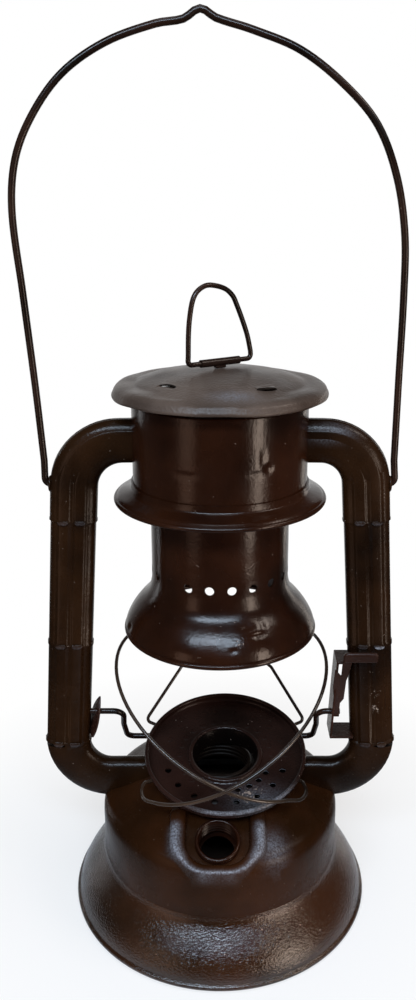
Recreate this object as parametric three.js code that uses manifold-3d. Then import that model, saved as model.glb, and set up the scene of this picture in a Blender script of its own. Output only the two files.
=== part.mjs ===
// Tin oil lamp: a small tubular lantern, shown without its glass, burner and filler cap.
// Millimetres, +Z up, front towards -Y, origin in the middle of the foot's underside.
import * as THREE from "three";
import { mergeVertices } from "three/addons/utils/BufferGeometryUtils.js";
import Module from "manifold-3d";

const wasm = await Module();
wasm.setup();

// Sheet metal and clearances
const sheet = 0.7;
const seatGap = 0.3;
const overrun = 6;

// Counts of facets
const roundSides = 28;
const tankSides = 32;
const collarSides = 16;
const holeSides = 6;
const wireSides = 8;
const thinWireSides = 6;
const bendSteps = 5;

// Foot and tank
const rimRadius = 67.2;
const rimBead = 1.1;
const flareTop = 24;
const footCollarRise = 4;
const drumRadius = 53.5;
const drumRise = 19;
const drumTop = flareTop + drumRise;
const crownRise = 16.4;
const crownHeight = drumTop + crownRise;
const tankMouthRadius = 13.5;
const tankFloorDrop = 1;
const tankFloorDish = 1.6;

// Filler: a pressed flat on the front of the shoulder, with a ridge round it and a neck through it
const padTilt = THREE.MathUtils.degToRad(22);
const padInset = 12.2;
const padForward = drumRadius - padInset;
const padDrop = 8.7;
const padHeight = crownHeight - padDrop;
const padOffset = 1;
const padHalfWidth = 17.3;
const padFront = 11;
const padBack = 15;
const padCorner = 9;
const ridgeRadius = 1.7;
const ridgeLift = 0.7;
const neckRadius = 8.6;
const neckLip = 0.8;
const neckRise = 3;
const neckDepth = 7;
const neckStep = 0.9;

// Burner seat and threaded collar on the crown
const seatRadius = 28;
const seatRise = 2.8;
const seatHeight = crownHeight + seatRise;
const collarRise = 1.2;
const collarLip = 0.8;
const collarDepth = 3;

// Canopy, its skirt and the guide ring that the chimney slides in
const canopyRadius = 36.5;
const canopyFoot = 193.4;
const canopyLength = 39.2;
const canopyTop = canopyFoot + canopyLength;
const canopyLip = 2.6;
const skirtRadius = 44.6;
const skirtDrop = 1.6;
const skirtHeight = canopyFoot - skirtDrop;
const skirtCollarRise = 6.6;
const skirtBead = 1.1;
const guideDrop = 3.4;
const guideFloor = canopyFoot - guideDrop;
const guideLip = 5.6;
const guideLipTop = guideFloor + guideLip;
const slideGap = 0.7;

// Side tubes: flat ovals, wide across the lamp's front
const tubeHalfWidth = 10;
const tubeHalfDepth = 6.3;
const tubePanelHalf = 3.6;
const tubePanelStep = 0.6;
const tubeTopDrop = 18.1;
const tubeTop = canopyTop - tubeTopDrop;
const tubeTopSpan = 23.7;
const tubeTopReach = canopyRadius + tubeTopSpan;
const tubeFootDrop = 5.2;
const tubeFoot = crownHeight - tubeFootDrop;
const tubeFootSpan = 16.8;
const tubeFootReach = drumRadius + tubeFootSpan;
const tubeBend = 17;
const tubeEntry = 2.5;
const tubeTopEnd = canopyRadius - tubeEntry;
const tubeFootEntry = 6;
const tubeFootEnd = seatRadius - tubeFootEntry;
const crimpWidth = 1.8;
const crimpLift = 0.45;
const upperCrimpDrop = 34.5;
const middleCrimpRise = 7.4;
const lowerCrimpRise = 19.8;

// Hood: chimney with its bell, cap and three legs between them
const chimneyRadius = 29.3;
const chimneyFlange = 3;
const bellSpread = 12.2;
const bellRadius = chimneyRadius + bellSpread;
const bellBead = 1.1;
const bellReach = 57.6;
const bellFoot = guideFloor - bellReach;
const bellRise = 24.1;
const bellThroat = bellFoot + bellRise;
const draughtHoles = 20;
const draughtHoleRadius = 1.9;
const draughtHoleRise = 3.1;
const draughtHoleHeight = bellThroat + draughtHoleRise;
const draughtHoleTurn = THREE.MathUtils.degToRad(-8.4);
const capOverhang = 7.8;
const capRadius = canopyRadius + capOverhang;
const capGap = 3.4;
const capRimHeight = canopyTop + capGap;
const capRise = 9.3;
const capTop = capRimHeight + capRise;
const capBead = 1;
const legWidth = 7;
const legOverlap = 11;
const legToe = 6;
const legInset = 0.6;
const legTurns = [-38, 34, 180].map(THREE.MathUtils.degToRad);
const lanceLength = 9;
const lanceWidth = 2.6;
const lanceLift = 1;
const lanceReach = 4.2;

// Lift ring and its rolled sleeve on the cap
const ringTurn = THREE.MathUtils.degToRad(35);
const ringWire = 1.8;
const ringHalf = 15.6;
const ringRise = 30.8;
const ringCorner = 1.6;
const ringEndGap = 1;
const sleeveLength = 19.4;
const sleeveWall = 0.5;
const sleeveFootWidth = 5;

// Bail
const bailWire = 3;
const eyeletDrop = 18.5;
const bailPivotHeight = tubeTop - eyeletDrop;
const bailRise = 183;
const bailHook = 4.2;
const bailBend = 2.6;
const eyeletRadius = 3.5;
const eyeletProud = 0.4;
const eyeletPlay = 0.6;
const bailStandOff = 1.9;

// Globe plate and the two guard wires that stand on it
const plateOffset = 2.4;
const plateForward = 3;
const plateRise = 7.7;
const plateHeight = seatHeight + plateRise;
const plateTilt = THREE.MathUtils.degToRad(11.7);
const plateRadius = 36.5;
const plateDepth = 3;
const plateBead = 0.9;
const plateHoleRadius = 14.9;
const plateCollarRise = 1.6;
const plateCollarWidth = 1.8;
const outerVents = 18;
const outerVentCircle = 27.2;
const innerVents = 24;
const innerVentCircle = 20.8;
const ventRadius = 1.35;
const rodLoopPlace = 28;
const rodLoopWidth = 4;
const guardWire = 1.9;
const guardOffset = 0.6;
const guardSpread = 10.1;
const guardHalfWidth = plateRadius + guardSpread;
const guardReach = 9.2;
const guardHalfDepth = plateRadius + guardReach;
const guardRise = 21.1;
const guardHeight = plateHeight + guardRise;
const guardSlope = 26;
const guardPeakTurn = THREE.MathUtils.degToRad(118);
const guardFrontHook = THREE.MathUtils.degToRad(63);
const guardBackHook = THREE.MathUtils.degToRad(118);
const guardHookInside = 1.6;
const guardHookOut = 5;
const guardHookBend = 2.4;

// Lift crank, lever, and what carries them
const crankWire = 2.6;
const rodBack = 13;
const rodDrop = 3.1;
const rodHeight = plateHeight - rodDrop;
const crankRise = 21.2;
const pivotHeight = rodHeight + crankRise;
const armInset = 6.7;
const armJog = 1.6;
const armBend = 5;
const rodBend = 2.6;
const crankTubeEntry = 2;
const bracketStandOff = 8.53;
const bracketDepth = 12;
const bracketSheet = 1;
const bracketRise = 27.6;
const bracketTop = pivotHeight + bracketRise;
const bracketDrop = 10.4;
const bracketFoot = pivotHeight - bracketDrop;
const leverWidth = 5;
const leverSheet = 1;
const leverRise = 34.2;
const leverLean = 9.2;
const leverBarHeight = 5;
const leverBarLength = 15.4;
const leverEyeWall = 0.9;
const clipSheet = 0.9;
const clipWidth = 12;
const clipRise = 7.8;
const clipDrop = 11.2;
const clipStandOff = 5;

// Finishes
const enamel = { color: 0x2b1a12, roughness: 0.34, metalness: 0.35 };
const dullEnamel = { color: 0x352a23, roughness: 0.5, metalness: 0.3 };
const darkWire = { color: 0x1a1614, roughness: 0.38, metalness: 0.6 };

const lamp = new THREE.Group();

// Helpers: solids

/** A closed body from a geometry, turned right side out. */
function solid(geometry) {
  const bare = geometry.index ? geometry.toNonIndexed() : geometry.clone();
  bare.deleteAttribute("normal");
  bare.deleteAttribute("uv");
  const merged = mergeVertices(bare, sheet / 1e4);
  const places = merged.attributes.position.array;
  const corners = merged.index.array;
  const kept = [];
  let volume = 0;
  const a = new THREE.Vector3();
  const b = new THREE.Vector3();
  const c = new THREE.Vector3();
  for (let i = 0; i < corners.length; i += 3) {
    const [p, q, r] = [corners[i], corners[i + 1], corners[i + 2]];
    if (p === q || q === r || p === r) continue;
    a.fromArray(places, p * 3);
    b.fromArray(places, q * 3);
    c.fromArray(places, r * 3);
    volume += a.dot(b.cross(c));
    kept.push(p, q, r);
  }
  if (volume < 0) {
    for (let i = 0; i < kept.length; i += 3) {
      [kept[i], kept[i + 1]] = [kept[i + 1], kept[i]];
    }
  }
  return new wasm.Manifold(new wasm.Mesh({
    numProp: 3,
    vertProperties: new Float32Array(places),
    triVerts: new Uint32Array(kept),
  }));
}

/** The geometry of a closed body. */
function geometryOf(body) {
  const mesh = body.getMesh();
  const geometry = new THREE.BufferGeometry();
  const places = [];
  for (let i = 0; i < mesh.vertProperties.length; i += mesh.numProp) {
    places.push(...mesh.vertProperties.slice(i, i + 3));
  }
  geometry.setAttribute("position", new THREE.Float32BufferAttribute(places, 3));
  geometry.setIndex([...mesh.triVerts]);
  geometry.computeVertexNormals();
  return geometry;
}

/** A named mesh of one piece, put in its group. */
function piece(name, body, finish, group) {
  const mesh = new THREE.Mesh(geometryOf(body), new THREE.MeshStandardMaterial(finish));
  mesh.name = name;
  group.add(mesh);
  return mesh;
}

/** A body turned about the Z axis from a closed profile of (radius, height) points. */
function turned(profile, sides = roundSides) {
  const geometry = new THREE.LatheGeometry([...profile, profile[0]], sides);
  return solid(geometry.rotateX(Math.PI / 2));
}

/** An upright cylinder from one height to another. */
function pillar(radius, low, high, sides = collarSides) {
  return turned([point(0, low), point(radius, low), point(radius, high), point(0, high)], sides);
}

/** A flat outline given a thickness, and then placed by a matrix. */
function plate(shape, thickness, matrix) {
  const geometry = new THREE.ExtrudeGeometry(shape, { depth: thickness, bevelEnabled: false });
  return solid(matrix ? geometry.applyMatrix4(matrix) : geometry);
}

/** A body moved by a matrix. */
function moved(body, matrix) {
  return solid(geometryOf(body).applyMatrix4(matrix));
}

// Helpers: lines

function point(x, y) {
  return new THREE.Vector2(x, y);
}

function place(x, y, z) {
  return new THREE.Vector3(x, y, z);
}

/** Points between two corners of a box, given as shares of the way in each direction. */
function between(from, to, shares) {
  return shares.map(([s, t]) => point(from.x + (to.x - from.x) * s, from.y + (to.y - from.y) * t));
}

/** A line moved sideways: to the right of its travel for a positive distance. */
function sideways(line, distance) {
  return line.map((here, i) => {
    const before = line[Math.max(i - 1, 0)];
    const after = line[Math.min(i + 1, line.length - 1)];
    const into = here.clone().sub(before).normalize();
    const out = after.clone().sub(here).normalize();
    if (i === 0) into.copy(out);
    if (i === line.length - 1) out.copy(into);
    const across = point(into.y + out.y, -into.x - out.x).normalize();
    const spread = Math.max(across.x * into.y - across.y * into.x, 1 / 2);
    return here.clone().addScaledVector(across, distance / spread);
  });
}

/** The closed profile of a sheet whose near face is a line, plain at both ends. */
function sheetProfile(line, wall = sheet) {
  return [...line, ...sideways(line, wall).reverse()];
}

const beadDrop = Math.sin(Math.PI / 3);

/** The closed profile of a sheet with a bead rolled at the line's far end. */
function rolledProfile(line, bead, wall = sheet) {
  const end = line[line.length - 1];
  const along = end.clone().sub(line[line.length - 2]).normalize();
  const outward = point(-along.y, along.x).multiplyScalar(Math.sign(wall));
  const middle = end.clone().addScaledVector(outward, -bead);
  const roll = [1, 2, 3, 4].map((i) => {
    const angle = (i * Math.PI) / 3;
    const corner = middle.clone().addScaledVector(outward, bead * Math.cos(angle));
    return corner.addScaledVector(along, bead * Math.sin(angle));
  });
  const inner = sideways(line, wall);
  inner[inner.length - 1].addScaledVector(along, -bead * beadDrop);
  return [...line, ...roll, ...inner.reverse()];
}

/** A curve through given stations, with one ring of the sweep at each. */
class Route extends THREE.Curve {
  constructor(stations, across = null) {
    super();
    this.stations = stations;
    this.across = across;
  }

  getPoint(t) {
    const last = this.stations.length - 1;
    const i = Math.min(Math.floor(t * last), last - 1);
    return this.stations[i].clone().lerp(this.stations[i + 1], t * last - i);
  }

  getPointAt(u) {
    return this.getPoint(u);
  }

  getTangent(t) {
    const last = this.stations.length - 1;
    const i = Math.round(t * last);
    const ahead = this.stations[Math.min(i + 1, last)].clone().sub(this.stations[i]).normalize();
    const behind = this.stations[i].clone().sub(this.stations[Math.max(i - 1, 0)]).normalize();
    return ahead.add(behind).normalize();
  }

  getTangentAt(u) {
    return this.getTangent(u);
  }

  computeFrenetFrames(steps, closed) {
    if (!this.across) return super.computeFrenetFrames(steps, closed);
    const frames = { tangents: [], normals: [], binormals: [] };
    for (let i = 0; i <= steps; i++) {
      const tangent = this.getTangent(i / steps);
      frames.tangents.push(tangent);
      frames.normals.push(this.across.clone());
      frames.binormals.push(tangent.clone().cross(this.across));
    }
    return frames;
  }
}

/** Stations of a bent wire: straight runs between corners, each with its bend radius. */
function bent(corners, steps = bendSteps) {
  const stations = [];
  corners.forEach(([here, radius], i) => {
    if (!radius) {
      stations.push(here.clone());
      return;
    }
    const back = corners[i - 1][0].clone().sub(here).normalize();
    const on = corners[i + 1][0].clone().sub(here).normalize();
    const half = back.angleTo(on) / 2;
    const middleWay = back.clone().add(on).normalize();
    const centre = here.clone().addScaledVector(middleWay, radius / Math.sin(half));
    const first = here.clone().addScaledVector(back, radius / Math.tan(half)).sub(centre);
    const last = here.clone().addScaledVector(on, radius / Math.tan(half)).sub(centre);
    const axis = first.clone().cross(last).normalize();
    const turn = first.angleTo(last);
    for (let k = 0; k <= steps; k++) {
      stations.push(first.clone().applyAxisAngle(axis, (turn * k) / steps).add(centre));
    }
  });
  return stations;
}

/** A section swept along stations. */
function swept(section, stations, across) {
  const path = new Route(stations, across);
  const steps = stations.length - 1;
  return solid(new THREE.ExtrudeGeometry(section, { steps, extrudePath: path, bevelEnabled: false }));
}

function circle(radius, sides) {
  const corners = [];
  for (let i = 0; i < sides; i++) {
    const angle = (i * 2 * Math.PI) / sides;
    corners.push(point(radius * Math.cos(angle), radius * Math.sin(angle)));
  }
  return corners;
}

/** A round wire of a diameter along stations. */
function wire(diameter, stations, sides = wireSides, across = null) {
  return swept(new THREE.Shape(circle(diameter / 2, sides)), stations, across);
}

/** A straight round bar or cutter between two places. */
function bar(radius, from, to, sides = collarSides) {
  return wire(radius * 2, [from, to], sides);
}

// Foot and tank

const shoulderShares = [
  [0, 0], [0.01, 0.2], [0.04, 0.37], [0.1, 0.46], [0.42, 0.77], [0.64, 0.945], [1, 1],
];

/** The tank's outside, from the drum's foot to the mouth in its crown. */
function tankLine() {
  const shoulder = between(
    point(drumRadius, drumTop), point(tankMouthRadius, crownHeight), shoulderShares);
  return [point(drumRadius, flareTop + seatGap), ...shoulder];
}

/** The tank's outside as one full body, grown by a margin and run down past its foot. */
function tankEnvelope(margin, drop = 0) {
  const line = sideways(tankLine(), margin);
  const top = line[line.length - 1];
  line[0].y -= drop;
  return turned([point(0, line[0].y), ...line, point(0, top.y)], tankSides);
}

/** The place of the pressed flat: X across, Y up its slope, Z out of it. */
function padMatrix() {
  return new THREE.Matrix4()
    .makeTranslation(-padOffset, -padForward, padHeight)
    .multiply(new THREE.Matrix4().makeRotationX(padTilt));
}

/** The ridge's route round the flat, open at the back. */
function padStations(inset, level) {
  const half = padHalfWidth - inset;
  const corner = padCorner - inset;
  return bent([
    [place(-half, padBack, level), 0],
    [place(-half, -padFront + inset, level), corner],
    [place(half, -padFront + inset, level), corner],
    [place(half, padBack, level), 0],
  ]);
}

/** What the press takes away above the flat. */
function padCutter(inset, level) {
  const outline = padStations(inset, 0).map((here) => point(here.x, here.y));
  const lift = new THREE.Matrix4().makeTranslation(0, 0, level);
  return plate(new THREE.Shape(outline), crownHeight / 3, padMatrix().multiply(lift));
}

function tankBody() {
  const outside = tankEnvelope(0).subtract(padCutter(0, 0));
  const inside = tankEnvelope(-sheet, overrun).subtract(padCutter(-sheet, -sheet));
  const mouth = pillar(tankMouthRadius + seatGap, drumTop, crownHeight + overrun, tankSides);
  const ridge = moved(wire(ridgeRadius * 2, padStations(0, ridgeLift)), padMatrix());
  const neckHole = bar(neckRadius + seatGap, place(0, 0, -overrun), place(0, 0, overrun));
  return outside.add(ridge).subtract(inside).subtract(mouth).subtract(moved(neckHole, padMatrix()));
}

const flareShares = [[0, 0], [0.1, 0.09], [0.47, 0.39], [0.8, 0.69], [0.95, 0.87]];

function baseSkirt() {
  const collar = drumRadius - sheet - seatGap;
  const flare = between(point(drumRadius, flareTop), point(rimRadius, 0), flareShares);
  return turned(rolledProfile([
    point(collar, flareTop + footCollarRise),
    point(collar, flareTop),
    ...flare,
    point(rimRadius, rimBead * 3 / 2),
    point(rimRadius, rimBead * beadDrop),
  ], rimBead), tankSides);
}

function tankBottom() {
  const edge = drumRadius - 2 * (sheet + seatGap);
  const floor = flareTop - tankFloorDrop;
  const line = [
    point(0, floor - tankFloorDish),
    point(edge - 4 * tankFloorDish, floor - tankFloorDish),
    point(edge - 2 * tankFloorDish, floor),
    point(edge, floor),
    point(edge, floor - 2 * tankFloorDish),
  ];
  return turned(sheetProfile(line), tankSides);
}

function fillerNeck() {
  const bore = neckRadius - sheet;
  const body = turned([
    point(bore, neckRise),
    point(neckRadius + neckLip / 2, neckRise),
    point(neckRadius + neckLip, neckRise - neckLip / 2),
    point(neckRadius + neckLip / 2, neckRise - neckLip * 2),
    point(neckRadius, neckRise - neckLip * 2),
    point(neckRadius, -neckDepth),
    point(bore - neckStep, -neckDepth),
    point(bore - neckStep, sheet - neckDepth),
    point(bore, sheet - neckDepth),
  ], collarSides);
  return moved(body, padMatrix());
}

const seatShares = [[0, 0.2], [0.15, 0.5], [0.6, 0.86], [1, 1]];

function burnerSeat() {
  const foot = crownHeight - sheet;
  const line = between(point(seatRadius, foot), point(tankMouthRadius, seatHeight), seatShares);
  const outline = [point(0, drumTop), point(seatRadius, drumTop), ...line, point(0, seatHeight)];
  const body = turned(outline, tankSides);
  const bore = pillar(tankMouthRadius, drumTop - overrun, seatHeight + overrun, tankSides);
  return body.subtract(tankEnvelope(seatGap)).subtract(bore);
}

function burnerCollar() {
  const outer = tankMouthRadius - seatGap;
  const low = crownHeight - collarDepth;
  return turned([
    point(outer - sheet, low),
    point(outer, low),
    point(outer, seatHeight + seatGap),
    point(outer + collarLip, seatHeight + seatGap),
    point(outer + collarLip, seatHeight + collarRise),
    point(outer - sheet, seatHeight + collarRise),
  ]);
}

// Side tubes

const tubeCornerShares = [[1, 0], [0.92, 0.5], [0.66, 0.86]];

/** The tube's section: depth along x, width along y, with a raised panel front and back. */
function tubeSection(margin) {
  const deep = tubeHalfDepth - tubePanelStep + margin;
  const wide = tubeHalfWidth + margin;
  const quarter = tubeCornerShares.map(([w, d]) => [wide * w, deep * d]);
  quarter.push([tubePanelHalf + tubePanelStep, deep]);
  quarter.push([tubePanelHalf, deep + tubePanelStep]);
  const half = [...quarter, ...quarter.map(([w, d]) => [-w, d]).reverse()];
  const lower = half.slice(1, -1).map(([w, d]) => [w, -d]).reverse();
  return [...half, ...lower].map(([w, d]) => point(d, w));
}

/** The inside of the tube: a plain flat oval with fewer corners. */
function tubeBore() {
  const deep = tubeHalfDepth - tubePanelStep - sheet;
  const wide = tubeHalfWidth - sheet;
  const shares = [[1, 0], [0.72, 0.84], [0.4, 1], [-0.4, 1], [-0.72, 0.84], [-1, 0],
    [-0.72, -0.84], [-0.4, -1], [0.4, -1], [0.72, -0.84]];
  return shares.map(([w, d]) => point(deep * d, wide * w));
}

function tubeStations(side, topEnd = tubeTopEnd, footEnd = tubeFootEnd) {
  return bent([
    [place(side * topEnd, 0, tubeTop), 0],
    [place(side * tubeTopReach, 0, tubeTop), tubeBend],
    [place(side * tubeFootReach, 0, tubeFoot), tubeBend],
    [place(side * footEnd, 0, tubeFoot), 0],
  ]);
}

/** Where the upright leg's middle runs at a height. */
function tubeMiddle(height) {
  const share = (tubeTop - height) / (tubeTop - tubeFoot);
  return tubeTopReach + (tubeFootReach - tubeTopReach) * share;
}

function tubeSolid(side, margin) {
  return swept(new THREE.Shape(tubeSection(margin)), tubeStations(side), place(0, 1, 0));
}

/** A crimp band round the upright leg at a height. */
function crimp(side, height) {
  const deep = tubeHalfDepth + crimpLift;
  const wide = tubeHalfWidth + crimpLift;
  const shares = [[1, 0.46], [0.62, 1], [-0.62, 1], [-1, 0.46], [-1, -0.46], [-0.62, -1], [0.62, -1],
    [1, -0.46]];
  const band = new THREE.Shape(shares.map(([w, d]) => point(deep * d, wide * w)));
  const low = place(side * tubeMiddle(height - crimpWidth / 2), 0, height - crimpWidth / 2);
  const high = place(side * tubeMiddle(height + crimpWidth / 2), 0, height + crimpWidth / 2);
  return swept(band, [low, high], place(0, 1, 0));
}

function sideTube(side) {
  const bore = new THREE.Shape(tubeBore());
  const run = tubeStations(side, tubeTopEnd - overrun, tubeFootEnd - overrun);
  const hollow = swept(bore, run, place(0, 1, 0));
  const face = tubeMiddle(bailPivotHeight) + tubeHalfWidth;
  const eyelet = bar(
    eyeletRadius,
    place(side * (face - 3 * sheet), 0, bailPivotHeight),
    place(side * (face + eyeletProud), 0, bailPivotHeight),
    collarSides / 2);
  const bailHole = bar(
    bailWire / 2 + eyeletPlay,
    place(side * (face - overrun), 0, bailPivotHeight),
    place(side * (face + overrun), 0, bailPivotHeight),
    collarSides / 2);
  let body = tubeSolid(side, 0);
  const crimps = [tubeTop - upperCrimpDrop, bracketTop + middleCrimpRise, tubeFoot + lowerCrimpRise];
  for (const height of crimps) body = body.add(crimp(side, height));
  body = body.add(eyelet).subtract(hollow).subtract(bailHole);
  if (side < 0) {
    const inner = tubeMiddle(pivotHeight) - tubeHalfWidth;
    const entry = bar(
      crankWire / 2 + seatGap,
      place(-inner + overrun, 0, pivotHeight),
      place(-inner - crankTubeEntry - overrun / 2, 0, pivotHeight),
      collarSides / 2);
    body = body.subtract(entry);
  }
  return body.subtract(tankEnvelope(seatGap)).subtract(seatClearance());
}

/** The room that the burner seat takes where the tubes end. */
function seatClearance() {
  const line = between(
    point(seatRadius, crownHeight - sheet), point(tankMouthRadius, seatHeight), seatShares);
  const grown = sideways(line, seatGap);
  const side = seatRadius + seatGap;
  const outline = [point(0, drumTop), point(side, drumTop), ...grown, point(0, seatHeight + seatGap)];
  return turned(outline, tankSides);
}

// Canopy, skirt and guide

function canopy() {
  const inner = canopyRadius - canopyLip;
  const wall = turned(sheetProfile([
    point(inner, canopyTop),
    point(canopyRadius - sheet, canopyTop),
    point(canopyRadius, canopyTop - sheet),
    point(canopyRadius, canopyFoot),
  ]));
  return wall.subtract(tubeSolid(-1, seatGap)).subtract(tubeSolid(1, seatGap));
}

const skirtShares = [[0, 0], [0.11, 0.1], [0.83, 0.16], [0.97, 0.34]];

function canopySkirt() {
  const collar = canopyRadius + seatGap + sheet;
  const rise = skirtHeight + skirtCollarRise;
  const bend = skirtHeight + skirtCollarRise * 2 / 3;
  const flare = between(point(collar, bend), point(skirtRadius, skirtHeight), skirtShares);
  const line = [point(collar, rise), ...flare, point(skirtRadius, skirtHeight)];
  return turned(rolledProfile(line, skirtBead));
}

function chimneyGuide() {
  const outer = canopyRadius - sheet - seatGap;
  const bore = chimneyRadius + slideGap;
  return turned(sheetProfile([
    point(outer, canopyFoot + sheet),
    point(outer, guideFloor),
    point(bore, guideFloor),
    point(bore, guideLipTop),
  ]));
}

// Hood

const bellShares = [[0, 0.04], [0.08, 0.22], [0.22, 0.36], [0.5, 0.51], [0.72, 0.66], [0.9, 0.83]];

function chimneyBell() {
  const top = guideLipTop + seatGap;
  const flare = between(point(chimneyRadius, bellThroat), point(bellRadius, bellFoot), bellShares);
  const line = [
    point(chimneyRadius + chimneyFlange, top),
    point(chimneyRadius, top),
    ...flare,
    point(bellRadius, bellFoot),
  ];
  let body = turned(rolledProfile(line, bellBead));
  for (let i = 0; i < draughtHoles; i++) {
    const angle = draughtHoleTurn + (i * 2 * Math.PI) / draughtHoles;
    const outward = place(Math.sin(angle), -Math.cos(angle), 0);
    const from = outward.clone().multiplyScalar(chimneyRadius - 4 * sheet).setZ(draughtHoleHeight);
    const to = outward.clone().multiplyScalar(chimneyRadius + 4 * sheet).setZ(draughtHoleHeight);
    body = body.subtract(bar(draughtHoleRadius, from, to, holeSides));
  }
  return body;
}

const capShares = [[0, 0], [0.3, 0.05], [0.64, 0.28], [0.86, 0.56], [0.97, 0.78], [1, 1]];

function capLine() {
  return between(point(0, capTop), point(capRadius, capRimHeight), capShares);
}

/** The cap's outer height at a radius. */
function capSurface(radius) {
  const line = capLine();
  const i = line.findIndex((here) => here.x >= radius);
  const [a, b] = [line[Math.max(i - 1, 0)], line[Math.max(i, 1)]];
  return a.y + ((b.y - a.y) * (radius - a.x)) / (b.x - a.x);
}

function hoodCap() {
  const line = capLine();
  const profile = rolledProfile(line, capBead);
  profile[profile.length - 1].x = 0;
  let body = turned(profile);
  for (const turn of legTurns) body = body.add(lance(turn));
  return body;
}

/** The pinched tab that shows above the cap over each leg. */
function lance(turn) {
  const radius = chimneyRadius - sheet - legInset + lanceReach;
  const shape = new THREE.Shape([
    point(-lanceLength / 2, 0),
    point(0, -lanceWidth / 2),
    point(lanceLength / 2, -lanceWidth / 5),
    point(lanceLength / 2, lanceWidth / 5),
    point(0, lanceWidth / 2),
  ]);
  const low = capSurface(radius) - sheet / 2;
  const matrix = new THREE.Matrix4().makeRotationZ(turn)
    .multiply(new THREE.Matrix4().makeTranslation(0, -radius, low));
  return plate(shape, lanceLift, matrix);
}

/** One leg: a strip up the inside of the chimney, with a toe under the cap. */
function hoodLeg(turn) {
  const face = chimneyRadius - sheet - legInset;
  const toe = face + legToe;
  const foot = guideLipTop - legOverlap;
  const under = sheet + seatGap;
  const outline = new THREE.Shape([
    point(face - sheet, foot),
    point(face - sheet, capSurface(face) - under * 4 / 3),
    point(toe, capSurface(toe) - under * 4 / 3),
    point(toe, capSurface(toe) - under * 4 / 3 - sheet),
    point(face, capSurface(face) - under * 4 / 3 - sheet),
    point(face, foot),
  ]);
  const matrix = new THREE.Matrix4().makeRotationZ(turn - Math.PI / 2)
    .multiply(new THREE.Matrix4().makeRotationX(Math.PI / 2))
    .multiply(new THREE.Matrix4().makeTranslation(0, 0, -legWidth / 2));
  return plate(outline, legWidth, matrix);
}

// Lift ring: drawn in its own plane, its axis along x at the sleeve's middle

const sleeveRadius = ringWire / 2 + seatGap + sleeveWall;
const ringAxisHeight = capTop + seatGap + sleeveWall + sleeveRadius;

function ringSleeve() {
  const half = sleeveLength / 2;
  const tube = bar(sleeveRadius, place(-half, 0, 0), place(half, 0, 0), collarSides / 2);
  const bore = bar(
    sleeveRadius - sleeveWall, place(-half - overrun, 0, 0), place(half + overrun, 0, 0),
    collarSides / 2);
  const pad = new THREE.BoxGeometry(sleeveLength / 2, sleeveFootWidth, sleeveWall);
  pad.translate(0, 0, -sleeveRadius - sleeveWall / 2);
  const web = new THREE.BoxGeometry(sleeveLength / 3, sleeveRadius, sleeveRadius);
  web.translate(0, 0, -sleeveRadius * 3 / 4);
  return tube.add(solid(pad)).add(solid(web)).subtract(bore);
}

const ringShares = [
  [-0.985, 0.1], [-0.97, 0.4], [-0.93, 0.61], [-0.84, 0.82], [-0.71, 0.93], [-0.46, 1], [-0.2, 1],
  [0.17, 0.945], [0.4, 0.85], [0.52, 0.74], [0.71, 0.53], [0.88, 0.31], [0.985, 0.1],
];

function liftRing() {
  const run = ringShares.map(([s, t]) => place(ringHalf * s, 0, ringRise * t));
  const foot = (side, leg, end) => bent([
    [place(end, 0, 0), 0],
    [place(side * ringHalf, 0, 0), ringCorner],
    [leg, 0],
  ], 3).slice(0, -1);
  const left = foot(-1, run[0], 0);
  const right = foot(1, run[run.length - 1], ringEndGap).reverse();
  return wire(ringWire, [...left, ...run, ...right], thinWireSides, place(0, 1, 0));
}

// Bail: legs and arch through shares of its stand beside the tube and of its rise over the pivot

const bailShares = [
  [-0.999, 0.055], [-1.027, 0.23], [-1.067, 0.437], [-1.099, 0.607], [-1.067, 0.711],
  [-0.971, 0.796], [-0.808, 0.878], [-0.583, 0.937], [-0.326, 0.972], [-0.184, 0.981],
  [-0.1, 1], [-0.021, 0.983], [0.163, 0.961], [0.408, 0.923], [0.638, 0.856],
  [0.814, 0.779], [0.926, 0.675], [0.983, 0.557], [0.994, 0.432], [0.991, 0.24],
  [0.989, 0.055],
];

function bail() {
  const stand = tubeMiddle(bailPivotHeight) + tubeHalfWidth + eyeletProud + bailStandOff;
  const arch = new THREE.CatmullRomCurve3(
    bailShares.map(([s, t]) => place(stand * s, 0, bailRise * t)), false, "centripetal");
  const archSteps = 34;
  const run = arch.getPoints(archSteps);
  const hook = (side, leg) => bent([
    [place(side * (stand - bailHook), 0, 0), 0],
    [place(side * stand, 0, 0), bailBend],
    [leg, 0],
  ], 3).slice(0, -1);
  const left = hook(-1, run[0]);
  const right = hook(1, run[run.length - 1]).reverse();
  return wire(bailWire, [...left, ...run, ...right], wireSides, place(0, 1, 0));
}

// Lift crank: drawn about its pivot axis

const bracketFace = tubeMiddle(bracketFoot) - tubeHalfWidth - bracketStandOff;
const armReach = bracketFace - armInset;

function crankCorners(side) {
  const upper = place(side * armReach, rodBack * 0.3, -crankRise * 0.3);
  const lower = place(side * (armReach + armJog), rodBack * 0.72, -crankRise * 0.72);
  return [
    [place(side * armReach, 0, 0), armBend * 0.8],
    [upper, armBend / 2],
    [lower, armBend],
    [place(side * armReach, rodBack, -crankRise), rodBend / 2],
  ];
}

function liftCrank() {
  const leftEnd = tubeMiddle(pivotHeight) - tubeHalfWidth + crankTubeEntry;
  const rightEnd = tubeMiddle(pivotHeight) - tubeHalfWidth - 2 * seatGap;
  return wire(crankWire, bent([
    [place(-leftEnd, 0, 0), 0],
    ...crankCorners(-1),
    ...crankCorners(1).reverse(),
    [place(rightEnd, 0, 0), 0],
  ], 3));
}

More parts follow.
